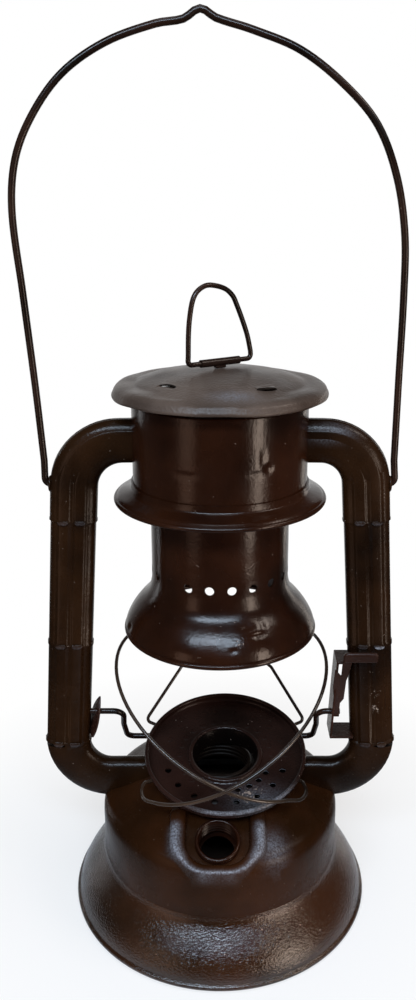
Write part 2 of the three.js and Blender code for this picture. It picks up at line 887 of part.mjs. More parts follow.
/** The lever: a flat stamping that leans forward, with an eye curled round the crank's end. */
function liftLever() {
  const left = bracketFace + bracketSheet + 2 * seatGap;
  const slope = Math.atan2(leverLean - leverEyeWall, leverRise);
  const length = Math.hypot(leverLean, leverRise);
  const neck = leverWidth * 0.72;
  const end = left + leverBarLength;
  const outline = new THREE.Shape();
  outline.moveTo(left, 0);
  outline.lineTo(left + leverWidth * 0.86, 0);
  outline.lineTo(left + leverWidth * 0.86, length * 0.28);
  outline.lineTo(left + leverWidth, length * 0.36);
  outline.lineTo(left + neck, length * 0.7);
  outline.lineTo(left + neck, length - leverBarHeight);
  outline.lineTo(end, length - leverBarHeight);
  outline.lineTo(end, length - leverBarHeight / 2);
  outline.quadraticCurveTo(end, length, end - leverBarHeight / 2, length);
  outline.lineTo(left + leverBarHeight / 2, length);
  outline.quadraticCurveTo(left, length, left, length - leverBarHeight / 2);
  outline.closePath();
  const front = crankWire / 2 + seatGap + leverEyeWall;
  const matrix = new THREE.Matrix4()
    .makeTranslation(0, -front + leverSheet, 0)
    .multiply(new THREE.Matrix4().makeRotationX(Math.PI / 2 + slope));
  const eye = bar(front, place(left, 0, 0), place(left + leverWidth * 0.86, 0, 0), collarSides / 2);
  const bore = bar(
    crankWire / 2 + seatGap, place(left - overrun, 0, 0), place(left + overrun, 0, 0),
    collarSides / 2);
  return plate(outline, leverSheet, matrix).add(eye).subtract(bore);
}

/** The bracket on the right tube: a strip bent to a C, with a hole for the crank. */
function leverBracket() {
  const footReach = tubeMiddle(bracketFoot);
  const topReach = tubeMiddle(bracketTop);
  const outline = new THREE.Shape([
    point(bracketFace, bracketFoot),
    point(footReach, bracketFoot),
    point(footReach, bracketFoot + bracketSheet),
    point(bracketFace + bracketSheet, bracketFoot + bracketSheet),
    point(bracketFace + bracketSheet, bracketTop - bracketSheet),
    point(topReach, bracketTop - bracketSheet),
    point(topReach, bracketTop),
    point(bracketFace, bracketTop),
  ]);
  const matrix = new THREE.Matrix4().makeTranslation(0, bracketDepth / 2, 0)
    .multiply(new THREE.Matrix4().makeRotationX(Math.PI / 2));
  const hole = bar(
    crankWire / 2 + seatGap,
    place(bracketFace - overrun, 0, pivotHeight),
    place(bracketFace + overrun, 0, pivotHeight),
    collarSides / 2);
  return plate(outline, bracketDepth, matrix).subtract(hole).subtract(tubeSolid(1, seatGap));
}

/** The leaf-shaped clip on the left tube that the crank's other end turns in. */
function pivotClip() {
  const height = clipRise + clipDrop;
  const clipFoot = pivotHeight - clipDrop;
  const half = clipWidth / 2;
  const leaf = new THREE.Shape();
  leaf.moveTo(-half / 2, 0);
  leaf.lineTo(half / 2, 0);
  leaf.quadraticCurveTo(half * 3 / 2, height / 2, 0, height);
  leaf.quadraticCurveTo(-half * 3 / 2, height / 2, -half / 2, 0);
  const face = tubeMiddle(clipFoot) - tubeHalfWidth;
  const lean = Math.atan2(clipStandOff, height);
  const matrix = new THREE.Matrix4().makeTranslation(-face, 0, clipFoot)
    .multiply(new THREE.Matrix4().makeRotationY(lean))
    .multiply(new THREE.Matrix4().makeRotationZ(Math.PI / 2))
    .multiply(new THREE.Matrix4().makeRotationX(Math.PI / 2));
  const hole = bar(
    crankWire / 2 + seatGap + clipSheet / 3,
    place(-face - overrun, 0, pivotHeight),
    place(-face + 2 * overrun, 0, pivotHeight),
    collarSides / 2);
  return plate(leaf, clipSheet, matrix).subtract(hole).subtract(tubeSolid(-1, seatGap));
}

// Globe plate: drawn about its own middle, with its rim's top at height zero

function plateMatrix() {
  return new THREE.Matrix4().makeTranslation(plateOffset, -plateForward, plateHeight)
    .multiply(new THREE.Matrix4().makeRotationX(plateTilt));
}

/** A place on the plate: radius, turn from the front towards +X, and height over the rim. */
function onPlate(radius, turn, height) {
  return place(radius * Math.sin(turn), -radius * Math.cos(turn), height);
}

function ventRing(count, circleRadius, turn) {
  const cutters = [];
  for (let i = 0; i < count; i++) {
    const angle = turn + (i * 2 * Math.PI) / count;
    const low = onPlate(circleRadius, angle, -plateDepth - overrun / 2);
    const high = onPlate(circleRadius, angle, -plateDepth + overrun / 2);
    cutters.push(bar(ventRadius, low, high, holeSides));
  }
  return cutters;
}

/** A lanced loop under the plate that holds the crank's rod. */
function rodLoop(side) {
  const rod = place(side * rodLoopPlace, rodBack, rodHeight).applyMatrix4(plateMatrix().invert());
  const outer = crankWire / 2 + seatGap + sheet;
  const low = rod.z;
  const shape = new THREE.Shape();
  shape.moveTo(rod.y - outer, -plateDepth - sheet / 2);
  shape.lineTo(rod.y - outer, low);
  shape.absarc(rod.y, low, outer, Math.PI, 2 * Math.PI, false);
  shape.lineTo(rod.y + outer, -plateDepth - sheet / 2);
  shape.closePath();
  const width = rodLoopWidth;
  const matrix = new THREE.Matrix4().makeTranslation(rod.x - width / 2, 0, 0)
    .multiply(new THREE.Matrix4().makeRotationZ(Math.PI / 2))
    .multiply(new THREE.Matrix4().makeRotationX(Math.PI / 2));
  const options = { depth: width, bevelEnabled: false, curveSegments: 4 };
  return solid(new THREE.ExtrudeGeometry(shape, options).applyMatrix4(matrix));
}

function rodCutter() {
  const inverse = plateMatrix().invert();
  const reach = plateRadius + overrun;
  const from = place(-reach, rodBack, rodHeight).applyMatrix4(inverse);
  const to = place(reach, rodBack, rodHeight).applyMatrix4(inverse);
  return bar(crankWire / 2 + seatGap, from, to, collarSides / 2);
}

function globePlate() {
  const floor = -plateDepth - sheet;
  const line = [
    point(plateHoleRadius, floor + plateCollarRise + sheet),
    point(plateHoleRadius + plateCollarWidth / 2, floor + plateCollarRise),
    point(plateHoleRadius + plateCollarWidth, floor),
    point(plateRadius - 3.6 * sheet, floor),
    point(plateRadius - sheet, floor + sheet),
    point(plateRadius, -plateBead),
  ];
  let body = turned(rolledProfile(line, plateBead, -sheet));
  body = body.add(rodLoop(-1)).add(rodLoop(1)).subtract(rodCutter());
  const cutters = [
    ...ventRing(outerVents, outerVentCircle, Math.PI / outerVents),
    ...ventRing(innerVents, innerVentCircle, 0),
  ];
  for (const cutter of cutters) body = body.subtract(cutter);
  for (const turn of [guardFrontHook, guardBackHook, -guardFrontHook, -guardBackHook]) {
    const hook = bar(
      guardWire / 2 + seatGap,
      onPlate(plateRadius - overrun / 2, turn, -plateDepth / 2),
      onPlate(plateRadius + overrun / 2, turn, -plateDepth / 2),
      holeSides);
    body = body.subtract(hook);
  }
  return body;
}

/** A place on the guard's hoop, by its turn from the front towards the side that it goes round. */
function onHoop(side, turn, depth) {
  return place(
    guardOffset + side * guardHalfWidth * Math.sin(turn),
    -depth * Math.cos(turn),
    guardHeight + guardSlope * Math.cos(turn - guardPeakTurn));
}

const hoopStart = THREE.MathUtils.degToRad(-46);
const hoopEnds = { [-1]: THREE.MathUtils.degToRad(212), 1: THREE.MathUtils.degToRad(197) };
const hoopSteps = 26;

/** One guard wire: from the plate's front, round one side and the back, to the plate again. */
function guard(side) {
  const depth = guardHalfDepth + (side * (guardWire + seatGap)) / 2;
  const hook = (turn, reach) => onPlate(reach, turn, -plateDepth / 2).applyMatrix4(plateMatrix());
  const inside = plateRadius - guardHookInside;
  const outside = plateRadius + guardHookOut;
  const run = [];
  for (let i = 0; i <= hoopSteps; i++) {
    run.push(onHoop(side, hoopStart + ((hoopEnds[side] - hoopStart) * i) / hoopSteps, depth));
  }
  const front = bent([
    [hook(-side * guardFrontHook, inside), 0],
    [hook(-side * guardFrontHook, outside), guardHookBend],
    [run[0], 0],
  ], 3);
  const back = bent([
    [run[run.length - 1], 0],
    [hook(-side * guardBackHook, outside + guardHookBend / 2), guardHookBend],
    [hook(-side * guardBackHook, inside), 0],
  ], 3);
  return wire(guardWire, [...front.slice(0, -1), ...run, ...back.slice(1)], thinWireSides);
}

// The lamp: what stands still, then each moving group on its own axis

const frame = new THREE.Group();
lamp.add(frame);
piece("base_skirt", baseSkirt(), enamel, frame);
piece("tank_bottom", tankBottom(), dullEnamel, frame);
piece("tank_body", tankBody(), enamel, frame);
piece("filler_neck", fillerNeck(), enamel, frame);
piece("burner_seat", burnerSeat(), enamel, frame);
piece("burner_collar", burnerCollar(), enamel, frame);
piece("side_tube_left", sideTube(-1), enamel, frame);
piece("side_tube_right", sideTube(1), enamel, frame);
piece("canopy", canopy(), enamel, frame);
piece("canopy_skirt", canopySkirt(), enamel, frame);
piece("chimney_guide", chimneyGuide(), enamel, frame);
piece("lever_bracket", leverBracket(), enamel, frame);
piece("pivot_clip", pivotClip(), enamel, frame);

const hood = new THREE.Group();
lamp.add(hood);
piece("chimney_bell", chimneyBell(), enamel, hood);
piece("hood_cap", hoodCap(), dullEnamel, hood);
["left", "right", "back"].forEach((where, i) => {
  piece(`hood_leg_${where}`, hoodLeg(legTurns[i]), enamel, hood);
});

const ringMount = new THREE.Group();
ringMount.position.set(0, 0, ringAxisHeight);
ringMount.rotation.z = ringTurn;
hood.add(ringMount);
piece("ring_sleeve", ringSleeve(), dullEnamel, ringMount);
piece("lift_ring", liftRing(), darkWire, ringMount);

const bailMount = new THREE.Group();
bailMount.position.set(0, 0, bailPivotHeight);
lamp.add(bailMount);
piece("bail", bail(), darkWire, bailMount);

const crankMount = new THREE.Group();
crankMount.position.set(0, 0, pivotHeight);
lamp.add(crankMount);
piece("lift_crank", liftCrank(), darkWire, crankMount);
piece("lift_lever", liftLever(), enamel, crankMount);

const plateMount = new THREE.Group();
lamp.add(plateMount);
const dish = piece("globe_plate", globePlate(), enamel, plateMount);
dish.position.set(plateOffset, -plateForward, plateHeight);
dish.rotation.x = plateTilt;
piece("guard_wire_left", guard(-1), darkWire, plateMount);
piece("guard_wire_right", guard(1), darkWire, plateMount);

export default lamp;
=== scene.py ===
# %% [markdown]
# # A small tin oil lamp
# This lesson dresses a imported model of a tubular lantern: sheet metal spun into bowls and domes,
# tubes bent from flat ovals, and a few bent wires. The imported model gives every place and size, so
# each piece here is modelled where it belongs and simply takes over from its plain counterpart.

import math

import bpy
from mathutils import Matrix, Vector


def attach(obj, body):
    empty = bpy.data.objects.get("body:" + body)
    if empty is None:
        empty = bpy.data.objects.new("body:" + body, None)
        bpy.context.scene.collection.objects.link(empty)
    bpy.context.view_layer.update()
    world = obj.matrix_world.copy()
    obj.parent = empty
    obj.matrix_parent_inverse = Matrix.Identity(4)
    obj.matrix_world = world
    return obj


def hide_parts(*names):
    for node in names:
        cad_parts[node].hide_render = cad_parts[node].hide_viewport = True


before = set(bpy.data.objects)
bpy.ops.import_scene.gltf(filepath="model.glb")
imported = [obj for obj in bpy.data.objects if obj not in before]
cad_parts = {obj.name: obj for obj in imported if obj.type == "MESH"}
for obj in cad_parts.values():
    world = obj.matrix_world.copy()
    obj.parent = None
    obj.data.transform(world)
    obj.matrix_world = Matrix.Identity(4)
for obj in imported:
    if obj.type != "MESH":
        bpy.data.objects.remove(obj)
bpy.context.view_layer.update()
MM = 0.001

# %% [markdown]
# ## Drawing a line of points
# Almost every piece starts as one point that is extruded along a line, the way a pen draws a
# profile. Sheet metal has two faces, so a profile runs out along one face, rolls round the rim if
# the rim is rolled, and comes back along the other face. Drawing both faces at once keeps the wall
# the same thickness everywhere and leaves nothing open.

# %% Points, lines and offsets
WALL = 0.7
ROLL_STEPS, ROLL_TURN = 14, math.radians(21)


def at(radius, height):
    return Vector((radius, 0, height))


def smooth(points, spacing=1.2):
    """A flowing line through points, with a new point every spacing millimetres or so."""
    line = []
    for i in range(len(points) - 1):
        before, a = points[max(i - 1, 0)], points[i]
        b, after = points[i + 1], points[min(i + 2, len(points) - 1)]
        steps = max(2, math.ceil((b - a).length / spacing))
        reach = (b - a).length
        pull_a = (b - before).normalized() * reach
        pull_b = (after - a).normalized() * reach
        for k in range(steps):
            t = k / steps
            line.append(a * (2 * t**3 - 3 * t**2 + 1) + pull_a * (t**3 - 2 * t**2 + t)
                        + b * (3 * t**2 - 2 * t**3) + pull_b * (t**3 - t**2))
    return line + [points[-1]]


def arc(middle, radius, start, turn, steps):
    """Points round a middle in the X-Z plane, from a start through a turn, both in degrees."""
    angles = (math.radians(start + turn * k / steps) for k in range(steps + 1))
    return [middle + at(math.cos(a), math.sin(a)) * radius for a in angles]


def offset(line, distance):
    """The line moved to its right in the X-Z plane."""
    moved = []
    for i, here in enumerate(line):
        along = (line[min(i + 1, len(line) - 1)] - line[max(i - 1, 0)]).normalized()
        moved.append(here + Vector((along.z, 0, -along.x)) * distance)
    return moved


def sheet_loop(line, wall=WALL, roll=None):
    """Out along a line and back along its other face, round a rolled edge (middle, radius) if given."""
    back = offset(line, wall)
    edge = []
    if roll:
        middle, radius = roll
        start = math.atan2(line[-1].z - middle.z, line[-1].x - middle.x)
        way = -1 if wall > 0 else 1
        for k in range(1, ROLL_STEPS + 1):
            turn = start + way * k * ROLL_TURN
            edge.append(middle + at(math.cos(turn), math.sin(turn)) * radius)
    return line + edge + back[::-1]


print("a 10 mm line offset by the wall:", offset([at(0, 0), at(10, 0)], WALL))

# %% Starting, drawing and closing a mesh
TOUCHING = 4e-6
SHARP = 35


def start_point(name, first):
    """A new mesh of one point, open in edit mode."""
    bpy.ops.object.select_all(action="DESELECT")
    bpy.ops.mesh.primitive_plane_add(size=MM, location=(0, 0, 0))
    piece = bpy.context.object
    piece.name = name
    bpy.ops.object.mode_set(mode="EDIT")
    bpy.ops.mesh.select_mode(type="VERT")
    bpy.ops.mesh.select_all(action="SELECT")
    bpy.ops.mesh.merge(type="CENTER")
    bpy.ops.transform.translate(value=first * MM)
    return piece


def draw(points):
    """Extrudes the selected point along a line."""
    for a, b in zip(points, points[1:]):
        bpy.ops.mesh.extrude_region_move(TRANSFORM_OT_translate={"value": (b - a) * MM})


def close(piece, sharp=SHARP):
    """Merges doubles, turns faces outwards and leaves edit mode with soft shading."""
    bpy.ops.mesh.select_all(action="SELECT")
    bpy.ops.mesh.remove_doubles(threshold=TOUCHING)
    bpy.ops.mesh.dissolve_degenerate(threshold=2e-6)
    bpy.ops.mesh.select_all(action="SELECT")
    bpy.ops.mesh.normals_make_consistent(inside=False)
    bpy.ops.object.mode_set(mode="OBJECT")
    bpy.ops.object.shade_smooth_by_angle(angle=math.radians(sharp))
    return piece


def spun(name, loop, steps=160, sharp=SHARP):
    """A closed loop spun about the lamp's axis."""
    piece = start_point(name, loop[0])
    draw(loop + [loop[0]])
    bpy.ops.mesh.select_all(action="SELECT")
    bpy.ops.mesh.spin(steps=steps, angle=math.tau, center=(0, 0, 0), axis=(0, 0, 1))
    return close(piece, sharp)


def board(name, outline, thickness, sharp=SHARP):
    """A flat outline filled and extruded by a thickness vector."""
    piece = start_point(name, outline[0])
    draw(outline + [outline[0]])
    bpy.ops.mesh.select_all(action="SELECT")
    bpy.ops.mesh.remove_doubles(threshold=TOUCHING)
    bpy.ops.mesh.edge_face_add()
    bpy.ops.mesh.extrude_region_move(TRANSFORM_OT_translate={"value": thickness * MM})
    return close(piece, sharp)


# %% Finishing moves that many pieces share
def pick(piece):
    bpy.ops.object.select_all(action="DESELECT")
    piece.select_set(True)
    bpy.context.view_layer.objects.active = piece


def soften(piece, width, segments=2, angle=40):
    """Rounds the sharp edges with a bevel."""
    pick(piece)
    bevel = piece.modifiers.new("bevel", "BEVEL")
    bevel.width = width * MM
    bevel.segments = segments
    bevel.limit_method = "ANGLE"
    bevel.angle_limit = math.radians(angle)
    bpy.ops.object.modifier_apply(modifier=bevel.name)
    bpy.ops.object.shade_smooth_by_angle(angle=math.radians(SHARP))
    return piece


def place(piece, matrix):
    """Moves a finished mesh, and leaves its object untransformed."""
    piece.data.transform(matrix)
    piece.data.update()
    return piece


def together(name, pieces):
    """Joins several meshes into one piece."""
    pick(pieces[0])
    for other in pieces[1:]:
        other.select_set(True)
    if len(pieces) > 1:
        bpy.ops.object.join()
    pieces[0].name = name
    return pieces[0]


def rod(radius, start, end, sides=24):
    """A plain cylinder between two places, used as a drill."""
    bpy.ops.object.select_all(action="DESELECT")
    run = end - start
    bpy.ops.mesh.primitive_cylinder_add(vertices=sides, radius=radius * MM, depth=run.length * MM)
    drill = bpy.context.object
    turn = run.to_track_quat("Z", "Y").to_matrix().to_4x4()
    return place(drill, Matrix.Translation((start + end) / 2 * MM) @ turn)


def cut(piece, cutters):
    """Takes the cutters' shapes out of a piece."""
    tool = together("cutters", cutters)
    pick(piece)
    hole = piece.modifiers.new("cut", "BOOLEAN")
    hole.object = tool
    hole.operation = "DIFFERENCE"
    hole.solver = "EXACT"
    bpy.ops.object.modifier_apply(modifier=hole.name)
    bpy.data.objects.remove(tool)
    bpy.ops.object.shade_smooth_by_angle(angle=math.radians(SHARP))
    return piece


def turned_by(axis, degrees):
    return Matrix.Rotation(math.radians(degrees), 4, axis)


def mark(piece, name, value_of):
    """Stores a number at every point, which the finish reads as an attribute."""
    layer = piece.data.attributes.get(name) or piece.data.attributes.new(name, "FLOAT", "POINT")
    for point, item in zip(piece.data.vertices, layer.data):
        item.value = max(item.value, value_of(point.co / MM))
    return piece


pieces = {}


def keep(piece, body, slot, *nodes):
    """Rides a piece on its body in place of the plain nodes."""
    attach(piece, body)
    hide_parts(*nodes)
    pieces[piece.name] = piece
    print(piece.name, len(piece.data.polygons), "faces")


# %% [markdown]
# ## Bent wires and swept tubes
# A wire is a curve with a round section, and a tube is a curve with an oval one. Corners get a
# real bend radius, because wire and tube are bent over a former and never fold. A curve keeps the
# section square to its path all the way, which is hard to do by hand with extrusions. It becomes
# a mesh once its shape is right.

# %% Bends, wires and tubes
def bent(corners, steps=8):
    """Points along straight runs whose corners are rounded: (place, bend radius) pairs."""
    line = []
    for i, (here, radius) in enumerate(corners):
        if not radius:
            line.append(here.copy())
            continue
        back = (corners[i - 1][0] - here).normalized()
        on = (corners[i + 1][0] - here).normalized()
        half = back.angle(on) / 2
        centre = here + (back + on).normalized() * radius / math.sin(half)
        first = here + back * radius / math.tan(half) - centre
        last = here + on * radius / math.tan(half) - centre
        axis = first.cross(last).normalized()
        turn = first.angle(last)
        for k in range(steps + 1):
            line.append(Matrix.Rotation(turn * k / steps, 3, axis) @ first + centre)
    return line


def new_path(name, points, widths=None, cyclic=False):
    bpy.ops.object.select_all(action="DESELECT")
    bpy.ops.curve.primitive_nurbs_path_add(location=(0, 0, 0))
    path = bpy.context.object
    path.name = name
    path.data.splines.clear()
    spline = path.data.splines.new("POLY")
    spline.points.add(len(points) - 1)
    spline.use_cyclic_u = cyclic
    for i, point in enumerate(points):
        spline.points[i].co = (*(point * MM), 1)
        spline.points[i].radius = widths[i] if widths else 1
    return path


def as_mesh(path, sharp=SHARP):
    pick(path)
    bpy.ops.object.convert(target="MESH")
    piece = bpy.context.object
    bpy.ops.object.mode_set(mode="EDIT")
    return close(piece, sharp)


def wire(name, points, thickness, widths=None):
    path = new_path(name, points, widths)
    path.data.bevel_depth = thickness / 2 * MM
    path.data.bevel_resolution = 4
    path.data.use_fill_caps = True
    return as_mesh(path, 50)


def tube(name, points, section, widths=None):
    path = new_path(name, points, widths)
    outline = new_path("section", [Vector((a, b, 0)) for a, b in section], cyclic=True)
    outline.data.dimensions = "2D"
    path.data.bevel_mode = "OBJECT"
    path.data.bevel_object = outline
    path.data.use_fill_caps = True
    piece = as_mesh(path)
    bpy.data.objects.remove(outline)
    return piece


# %% [markdown]
# ## The flared foot
# The foot is a skirt spun from sheet: a short collar that slips up inside the drum, a flare, and a
# rolled rim that stiffens it and keeps the raw edge off the table. A spun profile gives the even
# flare, with a round bead at the end of the line.

# %% Foot and the tank's floor
foot_line = [at(52.5, 28), at(52.5, 24.6), at(53.1, 24.3)] + smooth(
    [at(53.4, 23.7), at(53.9, 21.8), at(55.5, 19.3), at(58.3, 15.9), at(61.6, 11.7), at(64.3, 7.3),
     at(65.7, 3.9), at(66.0, 2.5)])
skirt = spun("foot_skirt", sheet_loop(foot_line, roll=(at(66.05, 1.15), 1.15)), steps=220)
floor_line = smooth([at(0.02, 21.4), at(40, 21.4), at(45, 21.6), at(48, 23)])
floor_line += [at(51.2, 23), at(51.4, 19.9)]
disc = spun("tank_floor", sheet_loop(floor_line), steps=96)
keep(skirt, "frame", "enamel", "base_skirt")
keep(disc, "frame", "dull_enamel", "tank_bottom")

# %% [markdown]
# ## The tank
# The drum and its shoulder are one deep pressing. On the front of the shoulder the press leaves a
# flat for the filler, with a rounded ridge round it. The shell is spun first, and the flat is then
# pressed into the fine mesh there by moving each point along the flat's own direction, which is
# what the tool does to the tin. The wall gets its thickness last, so both faces follow. A grey
# sheen is painted along the ridge and on a patch of shoulder to its right, so each point also
# stores how much of that painted sheen it gets.

# %% Spin the drum and shoulder
tank_line = [at(53.45, 24.0), at(53.5, 24.4), at(53.5, 30), at(53.5, 36)] + smooth(
    [at(53.5, 41.8), at(53.25, 45.2), at(52.1, 48.2), at(49.4, 50.3), at(44, 52.4), at(36.8, 55.5),
     at(29, 58.2), at(23, 59.1), at(13.8, 59.4)], 1.4)
tank = start_point("tank_shell", tank_line[0])
draw(tank_line)
bpy.ops.mesh.select_all(action="SELECT")
bpy.ops.mesh.spin(steps=200, angle=math.tau, center=(0, 0, 0), axis=(0, 0, 1))
close(tank)

# %% Find the pressed flat's own frame
PAD_TURN = 22
pad_frame = Matrix.Translation(Vector((-1, -41.3, 50.7))) @ turned_by("X", PAD_TURN)
pad_inverse = pad_frame.inverted()
PAD_HALF, PAD_FRONT, PAD_BACK, PAD_CORNER = 17.0, 13.4, 19, 13
RIDGE, FAR_BELOW = 3.4, -9.0


def eased(value):
    """0 below 0, 1 above 1, and a soft slope between."""
    value = min(max(value, 0), 1)
    return value * value * (3 - 2 * value)


def soft_max(a, b, blend):
    """The larger of two heights, rounded where they cross."""
    return (a + b + math.sqrt((a - b) ** 2 + blend)) / 2


def ridge_distance(x, y):
    """How far a place on the flat is from the ridge's middle line; negative inside it."""
    ahead = -y - (PAD_FRONT - PAD_CORNER)
    if ahead < 0:
        return abs(x) - PAD_HALF
    return math.hypot(max(abs(x) - (PAD_HALF - PAD_CORNER), 0), ahead) - PAD_CORNER


def ridge_reach(x, y):
    """The same distance, stretched outside the ridge, where its slope is steeper at the front."""
    gap = ridge_distance(x, y)
    return gap * (2.2 - 1.2 * eased((y + PAD_FRONT) / 9)) if gap > 0 else gap


# %% Refine the mesh round the flat and press it
pick(tank)
bpy.ops.object.mode_set(mode="EDIT")
bpy.ops.mesh.select_mode(type="FACE")
bpy.ops.mesh.select_all(action="DESELECT")
bpy.ops.object.mode_set(mode="OBJECT")
for face in tank.data.polygons:
    local = pad_inverse @ (face.center / MM)
    if abs(local.x) < PAD_HALF + 5 and -PAD_FRONT - 4 < local.y < PAD_BACK + 3 and abs(local.z) < 12:
        face.select = True
bpy.ops.object.mode_set(mode="EDIT")
bpy.ops.mesh.subdivide(number_cuts=2, smoothness=0)
bpy.ops.object.mode_set(mode="OBJECT")
for point in tank.data.vertices:
    local = pad_inverse @ (point.co / MM)
    gap = ridge_distance(local.x, local.y)
    if gap > RIDGE + 1 or local.y > PAD_BACK + 2 or local.z < -6:
        continue
    backward = eased((local.y + PAD_FRONT) / 9)
    fade = eased((PAD_BACK - local.y) / 7)
    level = local.z * (1 - fade * eased(-gap / 1.5)) if local.z > 0 else local.z
    reach = ridge_reach(local.x, local.y)
    crest = FAR_BELOW
    if abs(reach) < RIDGE:
        crest = (0.4 + 1.7 * backward) * fade + 0.72 * math.sqrt(RIDGE**2 - reach**2) - 3 * (1 - fade)
    local.z = max(level, soft_max(level, crest, 0.3) - 0.1)
    point.co = (pad_frame @ local) * MM
print("pressed flat:", len(tank.data.vertices), "points in the tank")

# %% Give the tank its wall and open the filler's hole
pick(tank)
wall = tank.modifiers.new("wall", "SOLIDIFY")
wall.thickness = WALL * MM
wall.offset = -1
bpy.ops.object.modifier_apply(modifier=wall.name)
cut(tank, [rod(9.1, pad_frame @ Vector((0, 0, -6)), pad_frame @ Vector((0, 0, 6)), 48)])


def ridge_sheen(spot):
    """How much painted grey sheen the ridge and a patch of shoulder to its right get: 1 on it, 0 away."""
    local = pad_inverse @ spot
    if local.z < -6:
        return 0
    reach = ridge_reach(local.x, local.y)
    width = 1.2 + 0.9 * eased((local.y + 11) / 6)
    patch = 0.5 * math.exp(-((local.x - 23) / 5) ** 2 - ((local.y + 2) / 6) ** 2)
    return max(math.exp(-((reach - 1.1) / width) ** 2) * eased((9 - local.y) / 5), patch)


# Painted sheen: the ridge and the patch of shoulder beside it are marked to turn grey.
mark(tank, "wear_and_sheen", ridge_sheen)
keep(tank, "frame", "enamel", "tank_body")

# %% [markdown]
# ## The filler's neck
# The neck is a short rolled tube with a rope thread: rounded rings pressed into thin sheet, seen
# from inside as well as outside. A wave added to both faces of the profile gives them. The bottom
# steps in to a smaller hole.

# %% Spin the neck upright, then lean it into the flat
def threaded(radius, low, high, pitch=1.9, depth=0.42):
    steps = math.ceil((high - low) / 0.17)
    line = []
    for k in range(steps + 1):
        height = low + (high - low) * k / steps
        line.append(at(radius - depth + depth * math.cos(math.tau * (high - height) / pitch), height))
    return line


neck_line = [at(7.2, -6.9), at(8.7, -6.8), at(8.85, -6)] + threaded(8.95, -5.5, 2.0)
neck_line += [at(9.05, 2.2), at(9.0, 2.4)]
neck = spun("filler_tube", sheet_loop(neck_line, wall=0.6)[::-1], steps=96)
lip_ring = arc(at(0, 0), 1, 0, 360, 16)[:-1]
lip = spun("filler_lip", [at(8.8 + 0.7 * p.x, 2.35 + 0.65 * p.z) for p in lip_ring], steps=96)
neck = together("filler_tube", [neck, lip])


def in_metres(matrix):
    """The same turn with its move in metres, as a finished mesh needs it."""
    moved = matrix.copy()
    moved.translation = matrix.translation * MM
    return moved


place(neck, in_metres(pad_frame))
keep(neck, "frame", "enamel", "filler_neck")

# %% [markdown]
# ## The burner's seat
# A raised ring on the crown takes the lower ends of the tubes, and in its middle is the threaded
# collar that a burner screws into. Both are spun, the collar with the same rolled thread.

# %% Seat and collar
seat_line = [at(28, 58.9)]
seat_line += smooth([at(28, 59.4), at(27.2, 60.3), at(25, 60.9), at(19, 61.7), at(14, 62.1)])
seat_loop = seat_line + [at(13.5, 61.9), at(13.5, 59.8), at(23, 59.6), at(27.6, 58.9)]
seat = spun("burner_ring", seat_loop, steps=128)
collar_line = [at(12.9, 56.4)] + threaded(13.15, 56.6, 61.8, 1.9, 0.2) + smooth(
    [at(13.2, 62.2), at(13.7, 62.6), at(13.9, 63.0), at(13.6, 63.35), at(13.1, 63.3)], 0.3)
collar = spun("burner_thread", sheet_loop(collar_line, wall=0.55)[::-1], steps=128)
keep(seat, "frame", "enamel", "burner_seat")
keep(collar, "frame", "enamel", "burner_collar")

# %% [markdown]
# ## The side tubes
# Each tube is rolled flat-oval with two ribs and a groove between them down the front and back. A
# plain stamped elbow is crimped over it at each end, and the crimping tool pinches up short tabs at
# the ends of the ribs. The section is swept along the tube's middle line, which keeps it square to
# the bend. The crimps are short places where it swells, and a second, smoother sweep over the upper
# bend covers the ribs there. Fine wires give the seams where the elbows' two halves meet.

# %% The oval section with its ribs
OVAL_POINTS, RIB_ROOM = 180, 0.75


def squared(value, power):
    """A cosine or sine drawn towards the corners of a box, with its sign kept."""
    return math.copysign(abs(value) ** power, value)


def oval(wide, deep, rib=0.6):
    """Half-widths across the lamp and front to back, with two ribs and a groove on both broad faces."""
    points = []
    for k in range(OVAL_POINTS):
        turn = math.tau * (k + 0.5) / OVAL_POINTS
        x = squared(math.cos(turn), 0.8) * wide
        y = squared(math.sin(turn), 0.72) * (deep - RIB_ROOM)
        rise = rib * eased((abs(x) - 0.5) / 0.9) * eased((6.8 - abs(x)) / 1.6)
        points.append((y + math.copysign(rise, y), x))
    return points


CRIMPS = (180.4, 123.2, 74.6)
SWELLS = ((181.2, 1), (180.9, 1.02), (180.1, 1.02), (179.7, 0.965), (124.3, 0.965), (123.9, 1.0),
          (122.3, 1.0), (121.8, 0.97), (75.4, 0.97), (74.9, 1.03), (73.9, 1.03), (73.6, 1))
TUBE_TOP, TUBE_FOOT = 214.5, 54.2
TUBE_TOP_REACH, TUBE_FOOT_REACH = 60.2, 70.3
BENDS = {-1: (20.5, 19.5), 1: (19, 19.5)}


def tube_x(height):
    share = (TUBE_TOP - height) / (TUBE_TOP - TUBE_FOOT)
    return TUBE_TOP_REACH + (TUBE_FOOT_REACH - TUBE_TOP_REACH) * share


def tube_run(side):
    """Points down the tube's middle, and the section's size at each of them.

    The size is a little larger at each crimp, and falls away at the hidden lower end.
    """
    upper_bend, lower_bend = BENDS[side]
    line = bent([(Vector((side * 34.2, 0, TUBE_TOP + 0.4)), 0),
                 (Vector((side * TUBE_TOP_REACH, 0, TUBE_TOP)), upper_bend),
                 (Vector((side * TUBE_FOOT_REACH, 0, TUBE_FOOT)), lower_bend),
                 (Vector((side * 29.5, 0, TUBE_FOOT + 0.7)), 0)], 14)
    upper, lower = line[:16], line[16:]
    points = upper[:]
    widths = [0.94] + [min(1, 0.94 + 0.006 * i) for i in range(15)]
    for height, size in SWELLS:
        points.append(Vector((side * tube_x(height), 0, height)))
        widths.append(size)
    widths += [max(0.91, 1 - 0.008 * i) for i in range(len(lower) - 1)]
    start, end = lower[-2], lower.pop()
    for share, size in ((0.8, 0.9), (0.88, 0.86), (0.95, 0.76), (1, 0.58)):
        lower.append(start.lerp(end, share))
        widths.append(size)
    return points + lower, widths


